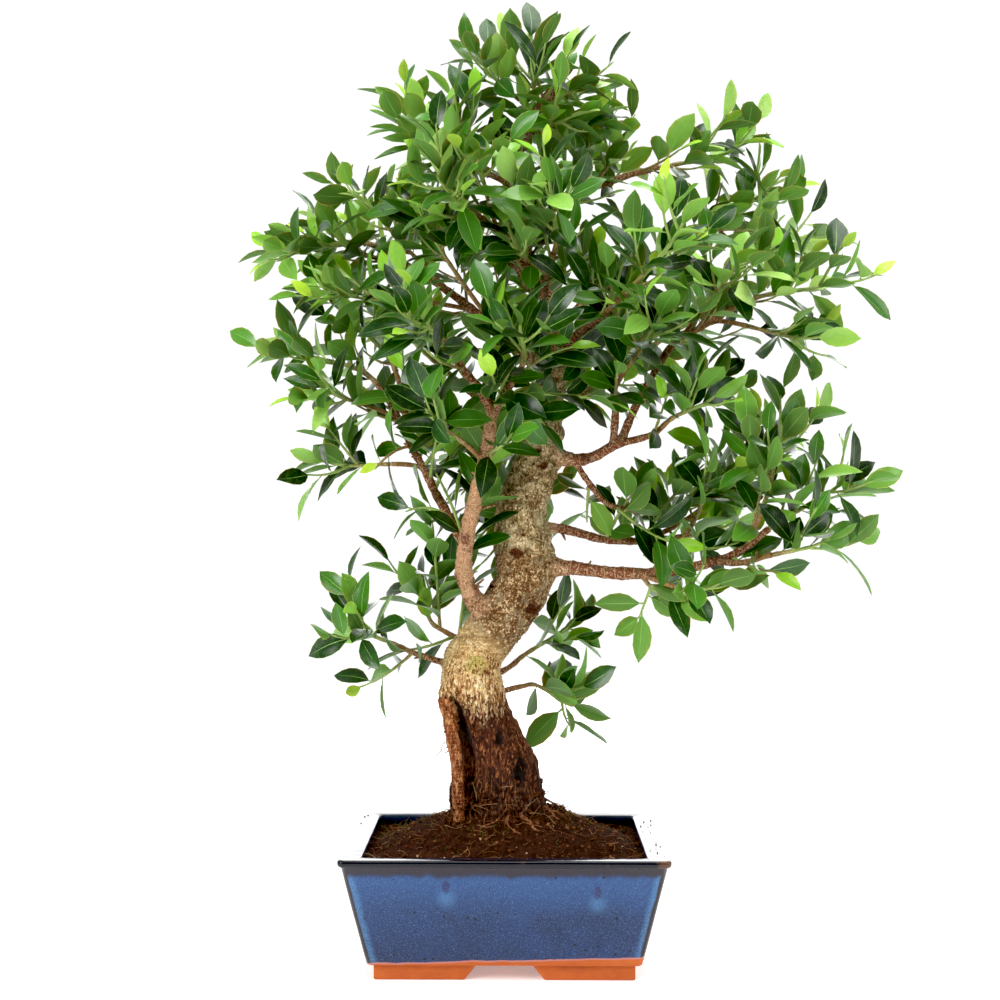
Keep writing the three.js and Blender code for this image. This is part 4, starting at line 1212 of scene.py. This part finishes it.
def makeLimbs(twigs):
    draw = drawsFrom(77)
    paths, spots = [], []
    for limb in limbs.values():
        path, length, start = limb["path"], limb["length"], limb["radii"][0]
        count = ceil(length / 2.4)
        places, radii = [], []
        lastNode, gap = 0, 12
        for step in range(count + 1):
            share = step / count
            place = path(share)
            along = share * length
            if along - lastNode > gap:
                lastNode, gap = along, 9 + 9 * draw()
            swell = 0.4 * exp(-along / start) + 0.1 * noise.noise(place / 4) + 0.14 * noise.noise(place / 13)
            ring = 0.13 * exp(-((along - lastNode - 4) / 1.7) ** 2)
            places.append(place + noise.noise_vector(place / 24) * 1.1 * ease(along, 0, 20))
            radii.append(mix(*limb["radii"], share) * (1 + swell + ring))
            spots.append((places[-1], mix(*limb["ages"], share), along))
        paths.append((places, radii))
        for twiglet in range(int(length / 30)):  # leaf scars and dead twiglets
            share = 0.2 + 0.75 * draw()
            base, angle = path(share), draw() * 2 * pi
            side = aroundShoot(heading(path, share), angle)
            reach = mix(*limb["radii"], share) + 1.5 + (2.5 if draw() < 0.6 else 16) * draw()
            tip = base + side * reach + heading(path, share) * reach * 0.4
            if outsideTrunk(base) > 4:
                paths.append(([base, base.lerp(tip, 0.7), tip], [2, 1.1, 0.7]))
                spots += [(base.lerp(tip, part), 0.62, 0) for part in (0.7, 1)]
    for path, fromShare, radius in twigs:
        length = lengthOf(path)
        count = max(4, ceil(length * fromShare / 3))
        shares = [fromShare * step / count for step in range(count + 1)]
        radii = [radius * (1.5 - 0.5 * ease(share, 0, 0.06)) for share in shares]
        paths.append(([path(share) for share in shares], radii))
        spots += [(path(share), mix(0.58, 0.4, share / fromShare), share * length) for share in shares]
    nearSpot = nearestOf([spot[0] for spot in spots])
    bm = tubes(paths, 12)
    bm.normal_update()
    age, along = [bm.verts.layers.float.new(name) for name in ("age", "along")]
    for vert in bm.verts:
        vert[age], way = spots[nearSpot(vert.co)[1]][1:]
        vert[along] = way / 1000
        rough = noise.noise(vert.co / 2.6) * 0.35 + noise.noise(vert.co / 7) * 0.5
        vert.co += vert.normal * rough * min(1, vert[age])
    finishPiece("limbs", bm, [limbBark()])


# Leafy sprays: the limb each one grows on, how far along it, and the place its end leaf reaches
sprays = {
    "woodShare": 0.32,  # the part of a side twig that has turned to wood
    "twigRadius": 2.3,
    "taper": 0.55,
    "sidePlaces": (0.33, 0.62),
    "extraPlaces": (0.12, 0.47, 0.78, 0.92),
    "leafPlaces": [(0, 0.33), (0, 0.67), (0, 1), (1, 1), (2, 1), (1, 0.5)],  # shoot, and how far along it
    "frameShootTurns": (0, 0.5, -0.5, 1, -1, 1.5, -1.5, 2.2, -2.2, 3.1),
    "frameLeafTurns": (0, 0.4, -0.4, 0.8, -0.8, 1.2, -1.2, 1.8, -1.8, 2.4, -2.4, 3.1),
    "shootTurns": (0, 0.7, -0.7, 1.5, -1.5, 2.4),
    "twigTurns": (0, 0.6, -0.6, 1.2, -1.2, 1.9, -1.9, 2.8),
    "leafTurns": (0, 0.45, -0.45, 0.9, -0.9, 1.5, -1.5, 2.2),
    "leafEvery": 11.5,
    "twigEvery": 26,  # short leafy twigs along the limbs, from the share of the limb that is named here
    "twigLength": (44, 40),
    "leafyFrom": {"leader": 0.3, "frontLeft": 0.8, "leftBack": 0.5, "rightUpper": 0.7, "rightMid": 0.55,
                  "rightLower": 0.76, "rightLowerFork": 0.6, "rightLowerDrop": 0.9, "lowLeft": 0.5,
                  "lowLeftRise": 0.3, "lowRight": 0.5, "lowRightRise": 0.5},
    "sparse": ("rightLowerDrop", "rightLowerFork"),
    "leafyElse": 0.22,
    "fillers": [  # long leafy twigs in front of the trunk: limb, how far along it, and where they end

        ("frontRightFork", 0.35, (104, -72, 526)), ("frontRightFork", 0.7, (58, -102, 574)),
        ("frontRightFork", 0.15, (34, -88, 508)), ("frontLeft", 0.97, (8, -104, 556)),
        ("leader", 0.2, (74, -62, 560)), ("leader", 0.26, (16, -58, 590)), ("leader", 0.12, (16, -66, 536)),
        ("frontLeft", 0.4, (-16, 16, 462)), ("frontLeft", 0.62, (-4, 2, 506)),
        ("frontLeft", 0.5, (-66, 2, 462)), ("leftBack", 0.1, (-62, 12, 424)),
        ("leftBack", 0.36, (-42, 26, 492)), ("leftBack", 0.62, (-122, -14, 470)),
        ("backLeft", 0.22, (-42, 52, 446)), ("lowLeftRise", 0.95, (-70, 6, 412)),
        ("lowLeftRise", 0.5, (-36, 26, 372)), ("backLow", 0.4, (-30, 66, 396)),
        ("leftBack", 0.2, (-92, -6, 428)), ("leftBack", 0.42, (-64, -20, 500)),
        ("leftBack", 0.5, (-34, -14, 520)), ("backLeft", 0.6, (-76, 60, 500)),
        ("backLeft", 0.4, (-18, 40, 430)), ("rightMid", 0.6, (130, -6, 452)),
        ("rightMid", 0.8, (190, 10, 470)),
    ],
    "middle": (30, 10, 560),
    "rows": [

        ("leader", 0.89, (16, -26, 878)), ("leader", 0.93, (104, 24, 846)),
        ("leader", 0.85, (-42, -20, 874)), ("leader", 0.8, (90, -46, 800)), ("leader", 0.77, (24, 96, 838)),
        ("leftTop", 1, (-70, -62, 824)), ("leftTop", 0.45, (-128, -26, 800)),
        ("frontLeftTop", 1, (-76, -152, 735)), ("frontLeftTop", 0.55, (-30, -132, 770)),
        ("backTop", 1, (104, 156, 806)), ("backLeftTop", 1, (-132, 168, 765)),
        ("leftUpper", 1, (-266, 44, 684)), ("leftUpper", 0.82, (-222, 84, 726)),
        ("leftUpper", 0.7, (-166, 22, 768)), ("leftUpper", 0.58, (-212, -14, 648)),
        ("leftUpper", 0.45, (-104, -34, 748)), ("leftBack", 1, (-248, 54, 607)),
        ("leftBack", 0.78, (-208, -24, 560)), ("leftBack", 0.5, (-212, 4, 478)),
        ("leftBackFork", 1, (-184, 78, 655)), ("frontLeft", 0.82, (-96, -92, 542)),
        ("frontLeftFork", 1, (-119, -146, 626)), ("frontRightFork", 1, (14, -146, 616)),
        ("frontMiddle", 1, (38, -152, 742)), ("frontMiddle", 0.55, (-12, -122, 680)),
        ("frontRight", 1, (176, -164, 700)), ("rightUpright", 1, (126, -82, 682)),
        ("rightUpright", 0.5, (156, -112, 628)), ("rightSweep", 1, (348, -58, 652)),
        ("rightSweep", 0.86, (322, -78, 580)), ("rightSweep", 0.64, (240, -76, 694)),
        ("rightInner", 1, (222, -82, 548)), ("rightUnder", 1, (216, 24, 446)),
        ("rightMid", 1, (262, 56, 424)), ("rightMidFork", 1, (296, 82, 514)),
        ("rightLower", 1, (346, -54, 476)), ("rightLower", 0.9, (264, -78, 540)),
        ("rightLower", 0.46, (168, 6, 326)), ("rightLowerFork", 1, (326, -98, 412)),
        ("rightLowerDrop", 1, (226, -90, 362)), ("rightLowerRise", 1, (212, -22, 516)),
        ("rightTop", 1, (264, 52, 796)), ("rightTop", 0.5, (128, 44, 808)), ("right", 1, (352, 84, 706)),
        ("right", 0.74, (298, 110, 776)), ("back", 1, (18, 204, 722)), ("backLeft", 1, (-152, 188, 670)),
        ("backRight", 1, (254, 188, 694)), ("backRight", 0.6, (112, 178, 694)),
        ("backLow", 1, (-50, 196, 522)), ("lowLeftRise", 1, (-92, 50, 392)),
        ("lowLeft", 1, (-180, -30, 334)), ("lowRightRise", 1, (98, 60, 338)),
        ("lowRight", 1, (98, 54, 220)),
    ],
}

leaf = {
    "length": 47,
    "width": 20.5,
    "thickness": 0.9,
    "stations": [  # how wide the leaf is along its length
        (0, 0.09), (0.12, 0.08), (0.2, 0.36), (0.34, 0.8), (0.52, 1), (0.7, 0.92), (0.85, 0.58),
        (0.945, 0.2), (1, 0),
    ],
    "shapes": [  # droop, fold, twist, sideways bend, width

        (0.07, 0.24, 0.1, 0.03, 1), (0.12, 0.3, -0.2, -0.05, 0.94), (0.16, 0.18, 0.25, 0.06, 1.08),
        (0.21, 0.34, -0.12, 0.02, 0.9), (0.27, 0.26, 0.3, -0.07, 1), (0.02, 0.38, -0.3, 0.05, 0.88),
        (0.34, 0.2, 0.15, 0.1, 1.04), (-0.05, 0.3, 0.2, -0.04, 1.02),
    ],
    # leaf colours from old dark leaves to light ones; the darkest stops are partly painted shade and the
    # palest ones painted sheen
    "greensShadeAndSheen": [
        (0, 8, 32, 6), (0.34, 22, 64, 14), (0.6, 66, 122, 32), (0.84, 146, 194, 82), (1, 194, 226, 130),
    ],
    "young": [paint(128, 186, 44), paint(176, 214, 62)],
    "pale": paint(150, 190, 96),  # midrib and edge
}


def bezier(*points):
    spots = [Vector(point) for point in points]

    def at(share):
        row = spots
        while len(row) > 1:
            row = [first.lerp(second, share) for first, second in zip(row, row[1:])]
        return row[0]

    return at


def aroundShoot(along, angle):
    level = along.cross(up)
    if level.length < 0.15:
        level = Vector((1, 0, 0))
    level.normalize()
    raised = level.cross(along).normalized()
    return level * cos(angle) + raised * sin(angle)


def mainShoot(limbName, along, reach):
    limb = limbs[limbName]["path"]
    base = limb(along)
    towards = (Vector(reach) - base).normalized()
    tip = Vector(reach) - towards * 38
    length = (tip - base).length
    leaving = heading(limb, along)
    if along < 1:
        leaving = (leaving * 0.35 + towards).normalized()
    arriving = (towards + up * 0.35).normalized()
    path = bezier(base, base + leaving * length * 0.35, tip - arriving * length * 0.3, tip)
    woody = sprays["woodShare"] if along < 1 else 0
    radius = sprays["twigRadius"] if along < 1 else limbs[limbName]["radii"][1]
    return {"path": path, "woody": woody, "from": woody + 0.5 / length, "radius": radius, "steps": 3}


def onShoot(shoot, at):  # on the straight chords that the frame's own shoot has
    place = (at - shoot["from"]) / (1 - shoot["from"]) * shoot["steps"]
    lower = min(int(place), shoot["steps"] - 1)
    start, end = [shoot["path"](mix(shoot["from"], 1, ring / shoot["steps"])) for ring in (lower, lower + 1)]
    return start.lerp(end, place - lower)


def shortShoot(path, radius):
    return {"path": path, "woody": 0, "from": 0, "radius": radius, "steps": 2}


def sideShoot(main, place, angle, length):
    at = mix(main["from"], 1, place)
    start = onShoot(main, at)
    along = heading(main["path"], at)
    leaving = (aroundShoot(along, angle) * 0.8 + along * 0.6).normalized()
    tip = start + leaving * length * 0.9 + up * length * 0.22 + along * length * 0.12
    return shortShoot(bezier(start, start + leaving * length * 0.5, tip), 1.6)


def frameSideShoot(main, spray, number, turn):
    draw = drawsFrom(spray * 7919 + number * 271)
    angle = draw() * 0.8 + (number - 1) * pi + turn
    return sideShoot(main, sprays["sidePlaces"][number - 1], angle, 38 + 16 * draw())


def frameLeaf(shoot, along, spray, number, turn):
    draw = drawsFrom(spray * 7919 + number * 10473 + 17)
    at = mix(shoot["from"], 1, along * 0.95)
    forward = heading(shoot["path"], at)
    angle = number * 2.39996 + draw() * 0.5 + turn
    opening = mix(1.15, 0.3, along ** 2) + (draw() - 0.5) * 0.3
    outward = (shoot["path"](at) - Vector(sprays["middle"])).normalized()
    pointing = (forward * cos(opening) + aroundShoot(forward, angle) * sin(opening) + up * 0.12).normalized()
    facing = up * 0.45 + outward * 0.6
    facing += Vector((draw() - 0.5, draw() - 0.62, draw() - 0.5)) * 1.5
    size = mix(1.06, 0.84, along ** 3) * (0.88 + 0.28 * draw())
    base = onShoot(shoot, at) - pointing * 0.4
    return leafPose(base, pointing, facing, size, 0.08 + 0.14 * draw())


def leafPose(base, pointing, facing, size, droop, youth=0.0):
    facing = (facing - pointing * facing.dot(pointing)).normalized()
    return {"base": base, "pointing": pointing, "facing": facing, "size": size, "droop": droop,
            "youth": youth}


def ribPoint(pose, along):
    length = leaf["length"] * pose["size"]
    drop = pose["facing"] * pose["droop"] * length * along ** 2
    return pose["base"] + pose["pointing"] * along * length - drop


def leafProxy(pose):
    across = pose["pointing"].cross(pose["facing"])
    half = leaf["width"] / 2 * pose["size"]
    points, faces = [], []
    for along, share in ((0.1, 0.1), (0.3, 0.75), (0.55, 1), (0.8, 0.7), (1, 0.05)):
        middle = ribPoint(pose, along)
        rise = pose["facing"] * 0.28 * half * share
        points += [middle - across * half * share + rise, middle, middle + across * half * share + rise]
    for row in range(4):
        for column in range(2):
            corner = row * 3 + column
            faces.append((corner, corner + 1, corner + 4, corner + 3))
    return points, faces


def stemProxy(shoot, low, high):
    points, faces = [], []
    for step in range(7):
        middle = shoot["path"](mix(low, high, step / 6))
        along = heading(shoot["path"], mix(low, high, step / 6))
        points += [middle + aroundShoot(along, turn) * shoot["radius"] for turn in (0, 2.1, 4.2)]
    for step in range(6):
        corner = step * 3
        for first, second in ((0, 1), (1, 2), (2, 0)):
            faces.append((corner + first, corner + second, corner + second + 3, corner + first + 3))
    return points, faces


cellSize = 50
taken = {}  # what stands in each cell of the crown, so that a new leaf or stem can be turned clear of it


def cellsOf(points):
    low, high = [[int(end(p[axis] for p in points) // cellSize) for axis in range(3)] for end in (min, max)]
    return product(*(range(first, last + 1) for first, last in zip(low, high)))


def take(points, faces):
    tree = BVHTree.FromPolygons(points, faces)
    for cell in cellsOf(points):
        taken.setdefault(cell, []).append(tree)


def isClear(points, faces):
    tree = BVHTree.FromPolygons(points, faces)
    near = {id(other): other for cell in cellsOf(points) for other in taken.get(cell, ())}
    return not tree.overlap(woodTree) and not any(tree.overlap(other) for other in near.values())


def firstClear(turns, make, low):  # the first of the turned shoots that touches nothing
    for turn in turns:
        shoot = make(turn)
        outline = stemProxy(shoot, low, 1)
        if isClear(*outline):
            take(*outline)
            return [shoot]
    return []


def nodeTree(name):
    bm = bmesh.new()
    bm.from_mesh(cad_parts[name].data)
    bmesh.ops.transform(bm, matrix=toMillimetres, verts=bm.verts)
    tree = BVHTree.FromBMesh(bm)
    bm.free()
    return tree


def bestTurn(turns, make, spots, tree):  # the turn that the frame's own shoot or leaf has
    def miss(turn):
        made = make(turn)
        return sum(tree.find_nearest(spot)[3] for spot in spots(made)) / len(spots(made))

    turn = min(turns, key=miss)
    return make(turn) if miss(turn) < 1.3 else None


def makeLeafTemplate(number):
    droop, fold, twist, bend, wide = leaf["shapes"][number]
    stations = leaf["stations"]
    rows = len(stations) - 1
    sides = (-1, -0.55, 0, 0.55, 1)
    length = leaf["length"]
    bm = bmesh.new()
    layer = bm.loops.layers.uv.new("leafMap")
    for sheet in (1, -1):  # the upper face, then the under one
        made = bmesh.ops.create_grid(bm, x_segments=4, y_segments=rows, size=0.5)["verts"]
        spots = {vert: (round((vert.co.x + 0.5) * 4), round((vert.co.y + 0.5) * rows)) for vert in made}
        faces = {face for vert in made for face in vert.link_faces}
        if sheet < 0:
            bmesh.ops.reverse_faces(bm, faces=list(faces))
        for face in faces:
            stalk = min(spots[vert][1] for vert in face.verts) == 0
            face.material_index = 2 if stalk else (0 if sheet > 0 else 1)
            face.smooth = True
            for loop in face.loops:
                column, row = spots[loop.vert]
                loop[layer].uv = (sides[column] / 2 + 0.5, stations[row][0])
        for vert, (column, row) in spots.items():
            side, (along, share) = sides[column], stations[row]
            blade = row > 1
            x = side * share * leaf["width"] / 2 * (wide if blade else 1)
            wave = sin(along * 9 + side * 2 + number * 1.7) * abs(side)
            height = fold * abs(x) * blade + 0.5 * wave * (1 < row < rows)
            height += sheet * leaf["thickness"] / 2 * (1 - side * side) * (0 < share)
            roll = twist * along * along
            across = x * cos(roll) - height * sin(roll)
            height = height * cos(roll) + x * sin(roll) - droop * length * along ** 2
            vert.co = (across + bend * length * sin(along * pi) * 0.5, along * length, height)
    bmesh.ops.remove_doubles(bm, verts=bm.verts, dist=0.01)
    bm.normal_update()
    for edge in bm.edges:
        if len({face.material_index for face in edge.link_faces}) > 1 and edge.calc_face_angle(0) > 1.5:
            edge.smooth = False
    return asMesh("leaf", bm)


def nearestShape(droop, number):  # a leaf shape near the droop, not always the same one
    order = sorted(range(len(leaf["shapes"])), key=lambda shape: abs(leaf["shapes"][shape][0] - droop))
    return order[number % 3]


def leafTop():
    material = startMaterial("leafTop", {
        "Roughness": 0.28, "IOR": 1.35, "Subsurface Weight": 0.15, "Subsurface Scale": 0.002,
        "Coat Weight": 0.12, "Coat Roughness": 0.18,
    })
    colourLeaf(0)
    return material


def leafUnder():
    material = startMaterial("leafUnderside", {"Roughness": 0.5, "IOR": 1.3, "Subsurface Weight": 0.15,
                                               "Subsurface Scale": 0.002})
    colourLeaf(0.4)
    return material


def colourLeaf(paler):
    sides = axes(addNode("UVMap", {}, uv_map="leafMap"))
    across, along = sides["X"], sides["Y"]
    fromRib = maths("ABSOLUTE", minus(across, 0.5))
    youth = attribute("youth")
    fresh, young = leaf["young"]
    layers = [(between(youth, 0, 0.45), fresh), (between(youth, 0.45, 1), young)]
    if paler:
        layers.append((paler, paint(120, 166, 78)))
    blotch = grain(objectPlace(), 240, 3)
    vein = sine(times(minus(along, times(fromRib, 0.42)), 96))
    vein = between(vein, 0.8, 1, 0, 0.06 + paler * 0.3)
    rib = between(maths("DIVIDE", fromRib, between(along, 0.1, 0.95, 0.03, 0.008)), 1, 0.4)
    plug("Base Color", layered(ramp(attribute("varyAndShade"), leaf["greensShadeAndSheen"]), layers + [
        (between(blotch, 0.42, 0.72, 0, 0.16), paint(86, 134, 44)),
        (vein, leaf["pale"]),
        (times(rib, 0.75), leaf["pale"]),
        (between(fromRib, 0.474, 0.49, 0, 0.75), leaf["pale"]),
    ]))
    height = plus(times(rib, -0.6), times(vein, -0.25))
    addBump(plus(height, times(blotch, 0.6)), 0.0004, 0.35)


def shootGreen():
    material = startMaterial("shootGreen", {"Roughness": 0.5, "IOR": 1.45})
    place = objectPlace()
    colour = blend(grain(place, 180, 3), paint(110, 146, 62), paint(160, 176, 96))
    woody = attribute("woody")
    speck = grain(place, 700, 3)
    bark = blend(between(speck, 0.4, 0.62), paint(112, 82, 48), paint(170, 142, 92))
    plug("Base Color", blend(woody, colour, bark))
    addBump(speck, 0.0004, 0.5)
    return material


leafMaterials = [leafTop(), leafUnder(), shootGreen()]


def shootTubes(shoots):
    paths = []
    for shoot in shoots:
        path, start = shoot["path"], shoot["from"]
        count = max(4, ceil(lengthOf(path) * (1 - start) / 4.5))
        shares = [step / count for step in range(count + 1)]
        radii = [shoot["radius"] * mix(1, sprays["taper"], share) for share in shares]
        radii = [radius * (1.12 if step % 3 == 1 else 0.95) for step, radius in enumerate(radii)]
        places = [path(mix(start, 1, share)) for share in shares]
        end = heading(path, 1)
        places += [places[-1] + end * 2.6, places[-1] + end * 5]
        paths.append((places, radii + [radii[-1] * 0.8, radii[-1] * 0.15]))
    return tubes(paths, 6)


def growSpray(number, row):
    name = "spray_%02d" % (number + 1)
    tree = nodeTree(name)
    shoots = [mainShoot(*row)]

    def shootSpots(shoot):
        return [onShoot(shoot, at) for at in (0.5, 0.75, 1)]

    def leafSpots(pose):
        return [ribPoint(pose, at) for at in (0.44, 0.74, 1)]

    for side in (1, 2):
        def makeShoot(turn):
            return frameSideShoot(shoots[0], number, side, turn)

        shoots.append(bestTurn(sprays["frameShootTurns"], makeShoot, shootSpots, tree))
    poses = []
    for index, (shootNumber, along) in enumerate(sprays["leafPlaces"]):
        def makeLeaf(turn):
            return frameLeaf(shoots[shootNumber], along, number, index, turn)

        if shoots[shootNumber]:
            poses.append(bestTurn(sprays["frameLeafTurns"], makeLeaf, leafSpots, tree))
    return {"name": name, "shoots": list(filter(None, shoots)), "poses": list(filter(None, poses))}


def addShoots(spray, number):
    draw = drawsFrom(4000 + number)
    main = spray["shoots"][0]
    length = lengthOf(main["path"])
    if sprays["rows"][number][0] in sprays["sparse"]:
        return
    for place in sprays["extraPlaces"]:
        if length * (1 - main["from"]) < 70 and place in (0.12, 0.92):
            continue
        span, first = 26 + 20 * draw(), draw() * 2 * pi

        def make(turn):
            return sideShoot(main, place, first + turn, span)

        spray["shoots"] += firstClear(sprays["shootTurns"], make, 0.2)


def nearestSpray(place):
    return min(range(len(grown)), key=lambda number: (grown[number]["shoots"][0]["path"](0.7) - place).length)


def addTwigs():  # short leafy twigs straight from the limbs fill the inside of the crown
    draw = drawsFrom(640)
    added = []
    for name, limb in limbs.items():
        begin = sprays["leafyFrom"].get(name, sprays["leafyElse"])
        count = int(limb["length"] * (1 - begin) / sprays["twigEvery"])
        angle = draw() * 6
        for index in range(count):
            at = mix(begin, 0.97, (index + draw() * 0.8) / count)
            base, along = limb["path"](at), heading(limb["path"], at)
            outward = (base - Vector(sprays["middle"])).normalized()
            angle += 2.4
            size = sprays["twigLength"][0] + sprays["twigLength"][1] * draw()

            def make(turn):
                side = aroundShoot(along, angle + turn)
                leaving = (side + along * 0.45 + up * 0.25 + outward * 0.5).normalized()
                rising = (leaving + up * 0.5 + along * 0.2).normalized()
                end = base + leaving * size * 0.7 + rising * size * 0.3
                return shortShoot(bezier(base, base + leaving * size * 0.6, end), 1.7)

            added += firstClear(sprays["twigTurns"], make, 0.25)
    for name, at, reach in sprays["fillers"]:
        base, reach = limbs[name]["path"](at), Vector(reach)
        shoot = shortShoot(bezier(base, base + (reach - base + up * 20) * 0.5, reach), 1.9)
        take(*stemProxy(shoot, 0.1, 1))
        added.append(shoot)
    for shoot in added:
        grown[nearestSpray(shoot["path"](1))]["shoots"].append(shoot)
    return len(added)


def addLeaves(spray, number):
    draw = drawsFrom(9000 + number)
    have = [pose["base"] for pose in spray["poses"]] + [Vector((0, 0, 0))]
    for shoot in spray["shoots"]:
        length = lengthOf(shoot["path"]) * (1 - shoot["from"])
        count = max(2, round(length / sprays["leafEvery"]))
        angle = draw() * 6
        for index in range(count):
            along = (index + 0.8) / count
            at = mix(shoot["from"], 1, min(1, along) * 0.97)
            angle += 2.4 + (draw() - 0.5) * 0.5
            forward = heading(shoot["path"], at)
            place = shoot["path"](at)
            if min((place - spot).length for spot in have) < 5:
                continue
            youth = 0.0
            if index == count - 1 and draw() < 0.55:
                youth = 0.4 + 0.6 * draw()
            elif draw() < 0.09:
                youth = 0.2 + 0.3 * draw()
            size = (0.84 + 0.38 * draw()) * mix(1, 0.78, along ** 3) * mix(1, 0.62, youth)
            outward = (place - Vector(sprays["middle"])).normalized()
            opening = mix(1.1, 0.35, along ** 2) + (draw() - 0.5) * 0.4
            tilt = Vector((draw() - 0.5, draw() - 0.6, draw() - 0.4))
            droop = 0.02 + 0.26 * draw()
            facing = forward * 0.5 + up * 0.45 + outward * 0.4 + tilt * 0.9
            for turn in sprays["leafTurns"]:
                side = aroundShoot(forward, angle + turn)
                pointing = (forward * cos(opening) + side * sin(opening) + up * 0.1).normalized()
                pose = leafPose(place - pointing * 0.4, pointing, facing, size, droop, youth)
                points, faces = leafProxy(pose)
                if isClear(points[3:], faces[:6]):
                    take(points, faces)
                    spray["poses"].append(pose)
                    break


def makeSpray(spray, number, templates):
    draw = drawsFrom(300 + number)
    bm = bmesh.new()
    bm.loops.layers.uv.new("leafMap")
    varyAndShade, youth, woody = [bm.verts.layers.float.new(name) for name in ("varyAndShade", "youth", "woody")]
    for index, pose in enumerate(spray["poses"]):
        shape = nearestShape(pose["droop"], index)
        across = pose["pointing"].cross(pose["facing"])
        turnTo = Matrix((across, pose["pointing"], pose["facing"])).transposed().to_4x4()
        matrix = Matrix.Translation(pose["base"]) @ turnTo @ Matrix.Scale(pose["size"], 4)
        # leaves near the crown's middle are drawn darker as older leaves, and leaves low in the crown darker
        # as painted shade
        inside = ease((pose["base"] - Vector(sprays["middle"])).length, 90, 230)
        tone = draw() * mix(0.6, 1, inside * mix(0.3, 1, ease(pose["base"].z, 420, 600)))
        for vert in addCopy(bm, templates[shape], matrix):
            vert[varyAndShade] = tone
            vert[youth] = pose["youth"]
    main = spray["shoots"][0]
    start = main["path"](main["from"])
    length = lengthOf(main["path"])
    stems = shootTubes(spray["shoots"])
    for face in stems.faces:
        face.material_index = 2
    for vert in addCopy(bm, asMesh("stems", stems), Matrix.Identity(4)):
        vert[woody] = 0.9 * ease((vert.co - start).length, length * 0.55, length * 0.15)
    finishPiece("leafy_" + spray["name"], bm, leafMaterials, [spray["name"]])


woodTree = nodeTree("wood")
grown = [growSpray(number, row) for number, row in enumerate(sprays["rows"])]
for spray in grown:
    for shoot in spray["shoots"]:
        take(*stemProxy(shoot, mix(shoot["from"], 1, 0.15), 1))
    for pose in spray["poses"]:
        take(*leafProxy(pose))
for number, spray in enumerate(grown):
    addShoots(spray, number)
print("twigs added:", addTwigs())
for number, spray in enumerate(grown):
    addLeaves(spray, number)
print("leaves placed:", sum(len(spray["poses"]) for spray in grown))
templates = [makeLeafTemplate(number) for number in range(len(leaf["shapes"]))]
for number, spray in enumerate(grown):
    makeSpray(spray, number, templates)
makeLitter(makeTrunk())
makeRootlets()
makeLimbs([(spray["shoots"][0]["path"], sprays["woodShare"], sprays["twigRadius"])
           for spray in grown if spray["shoots"][0]["woody"]])
print("tree made")
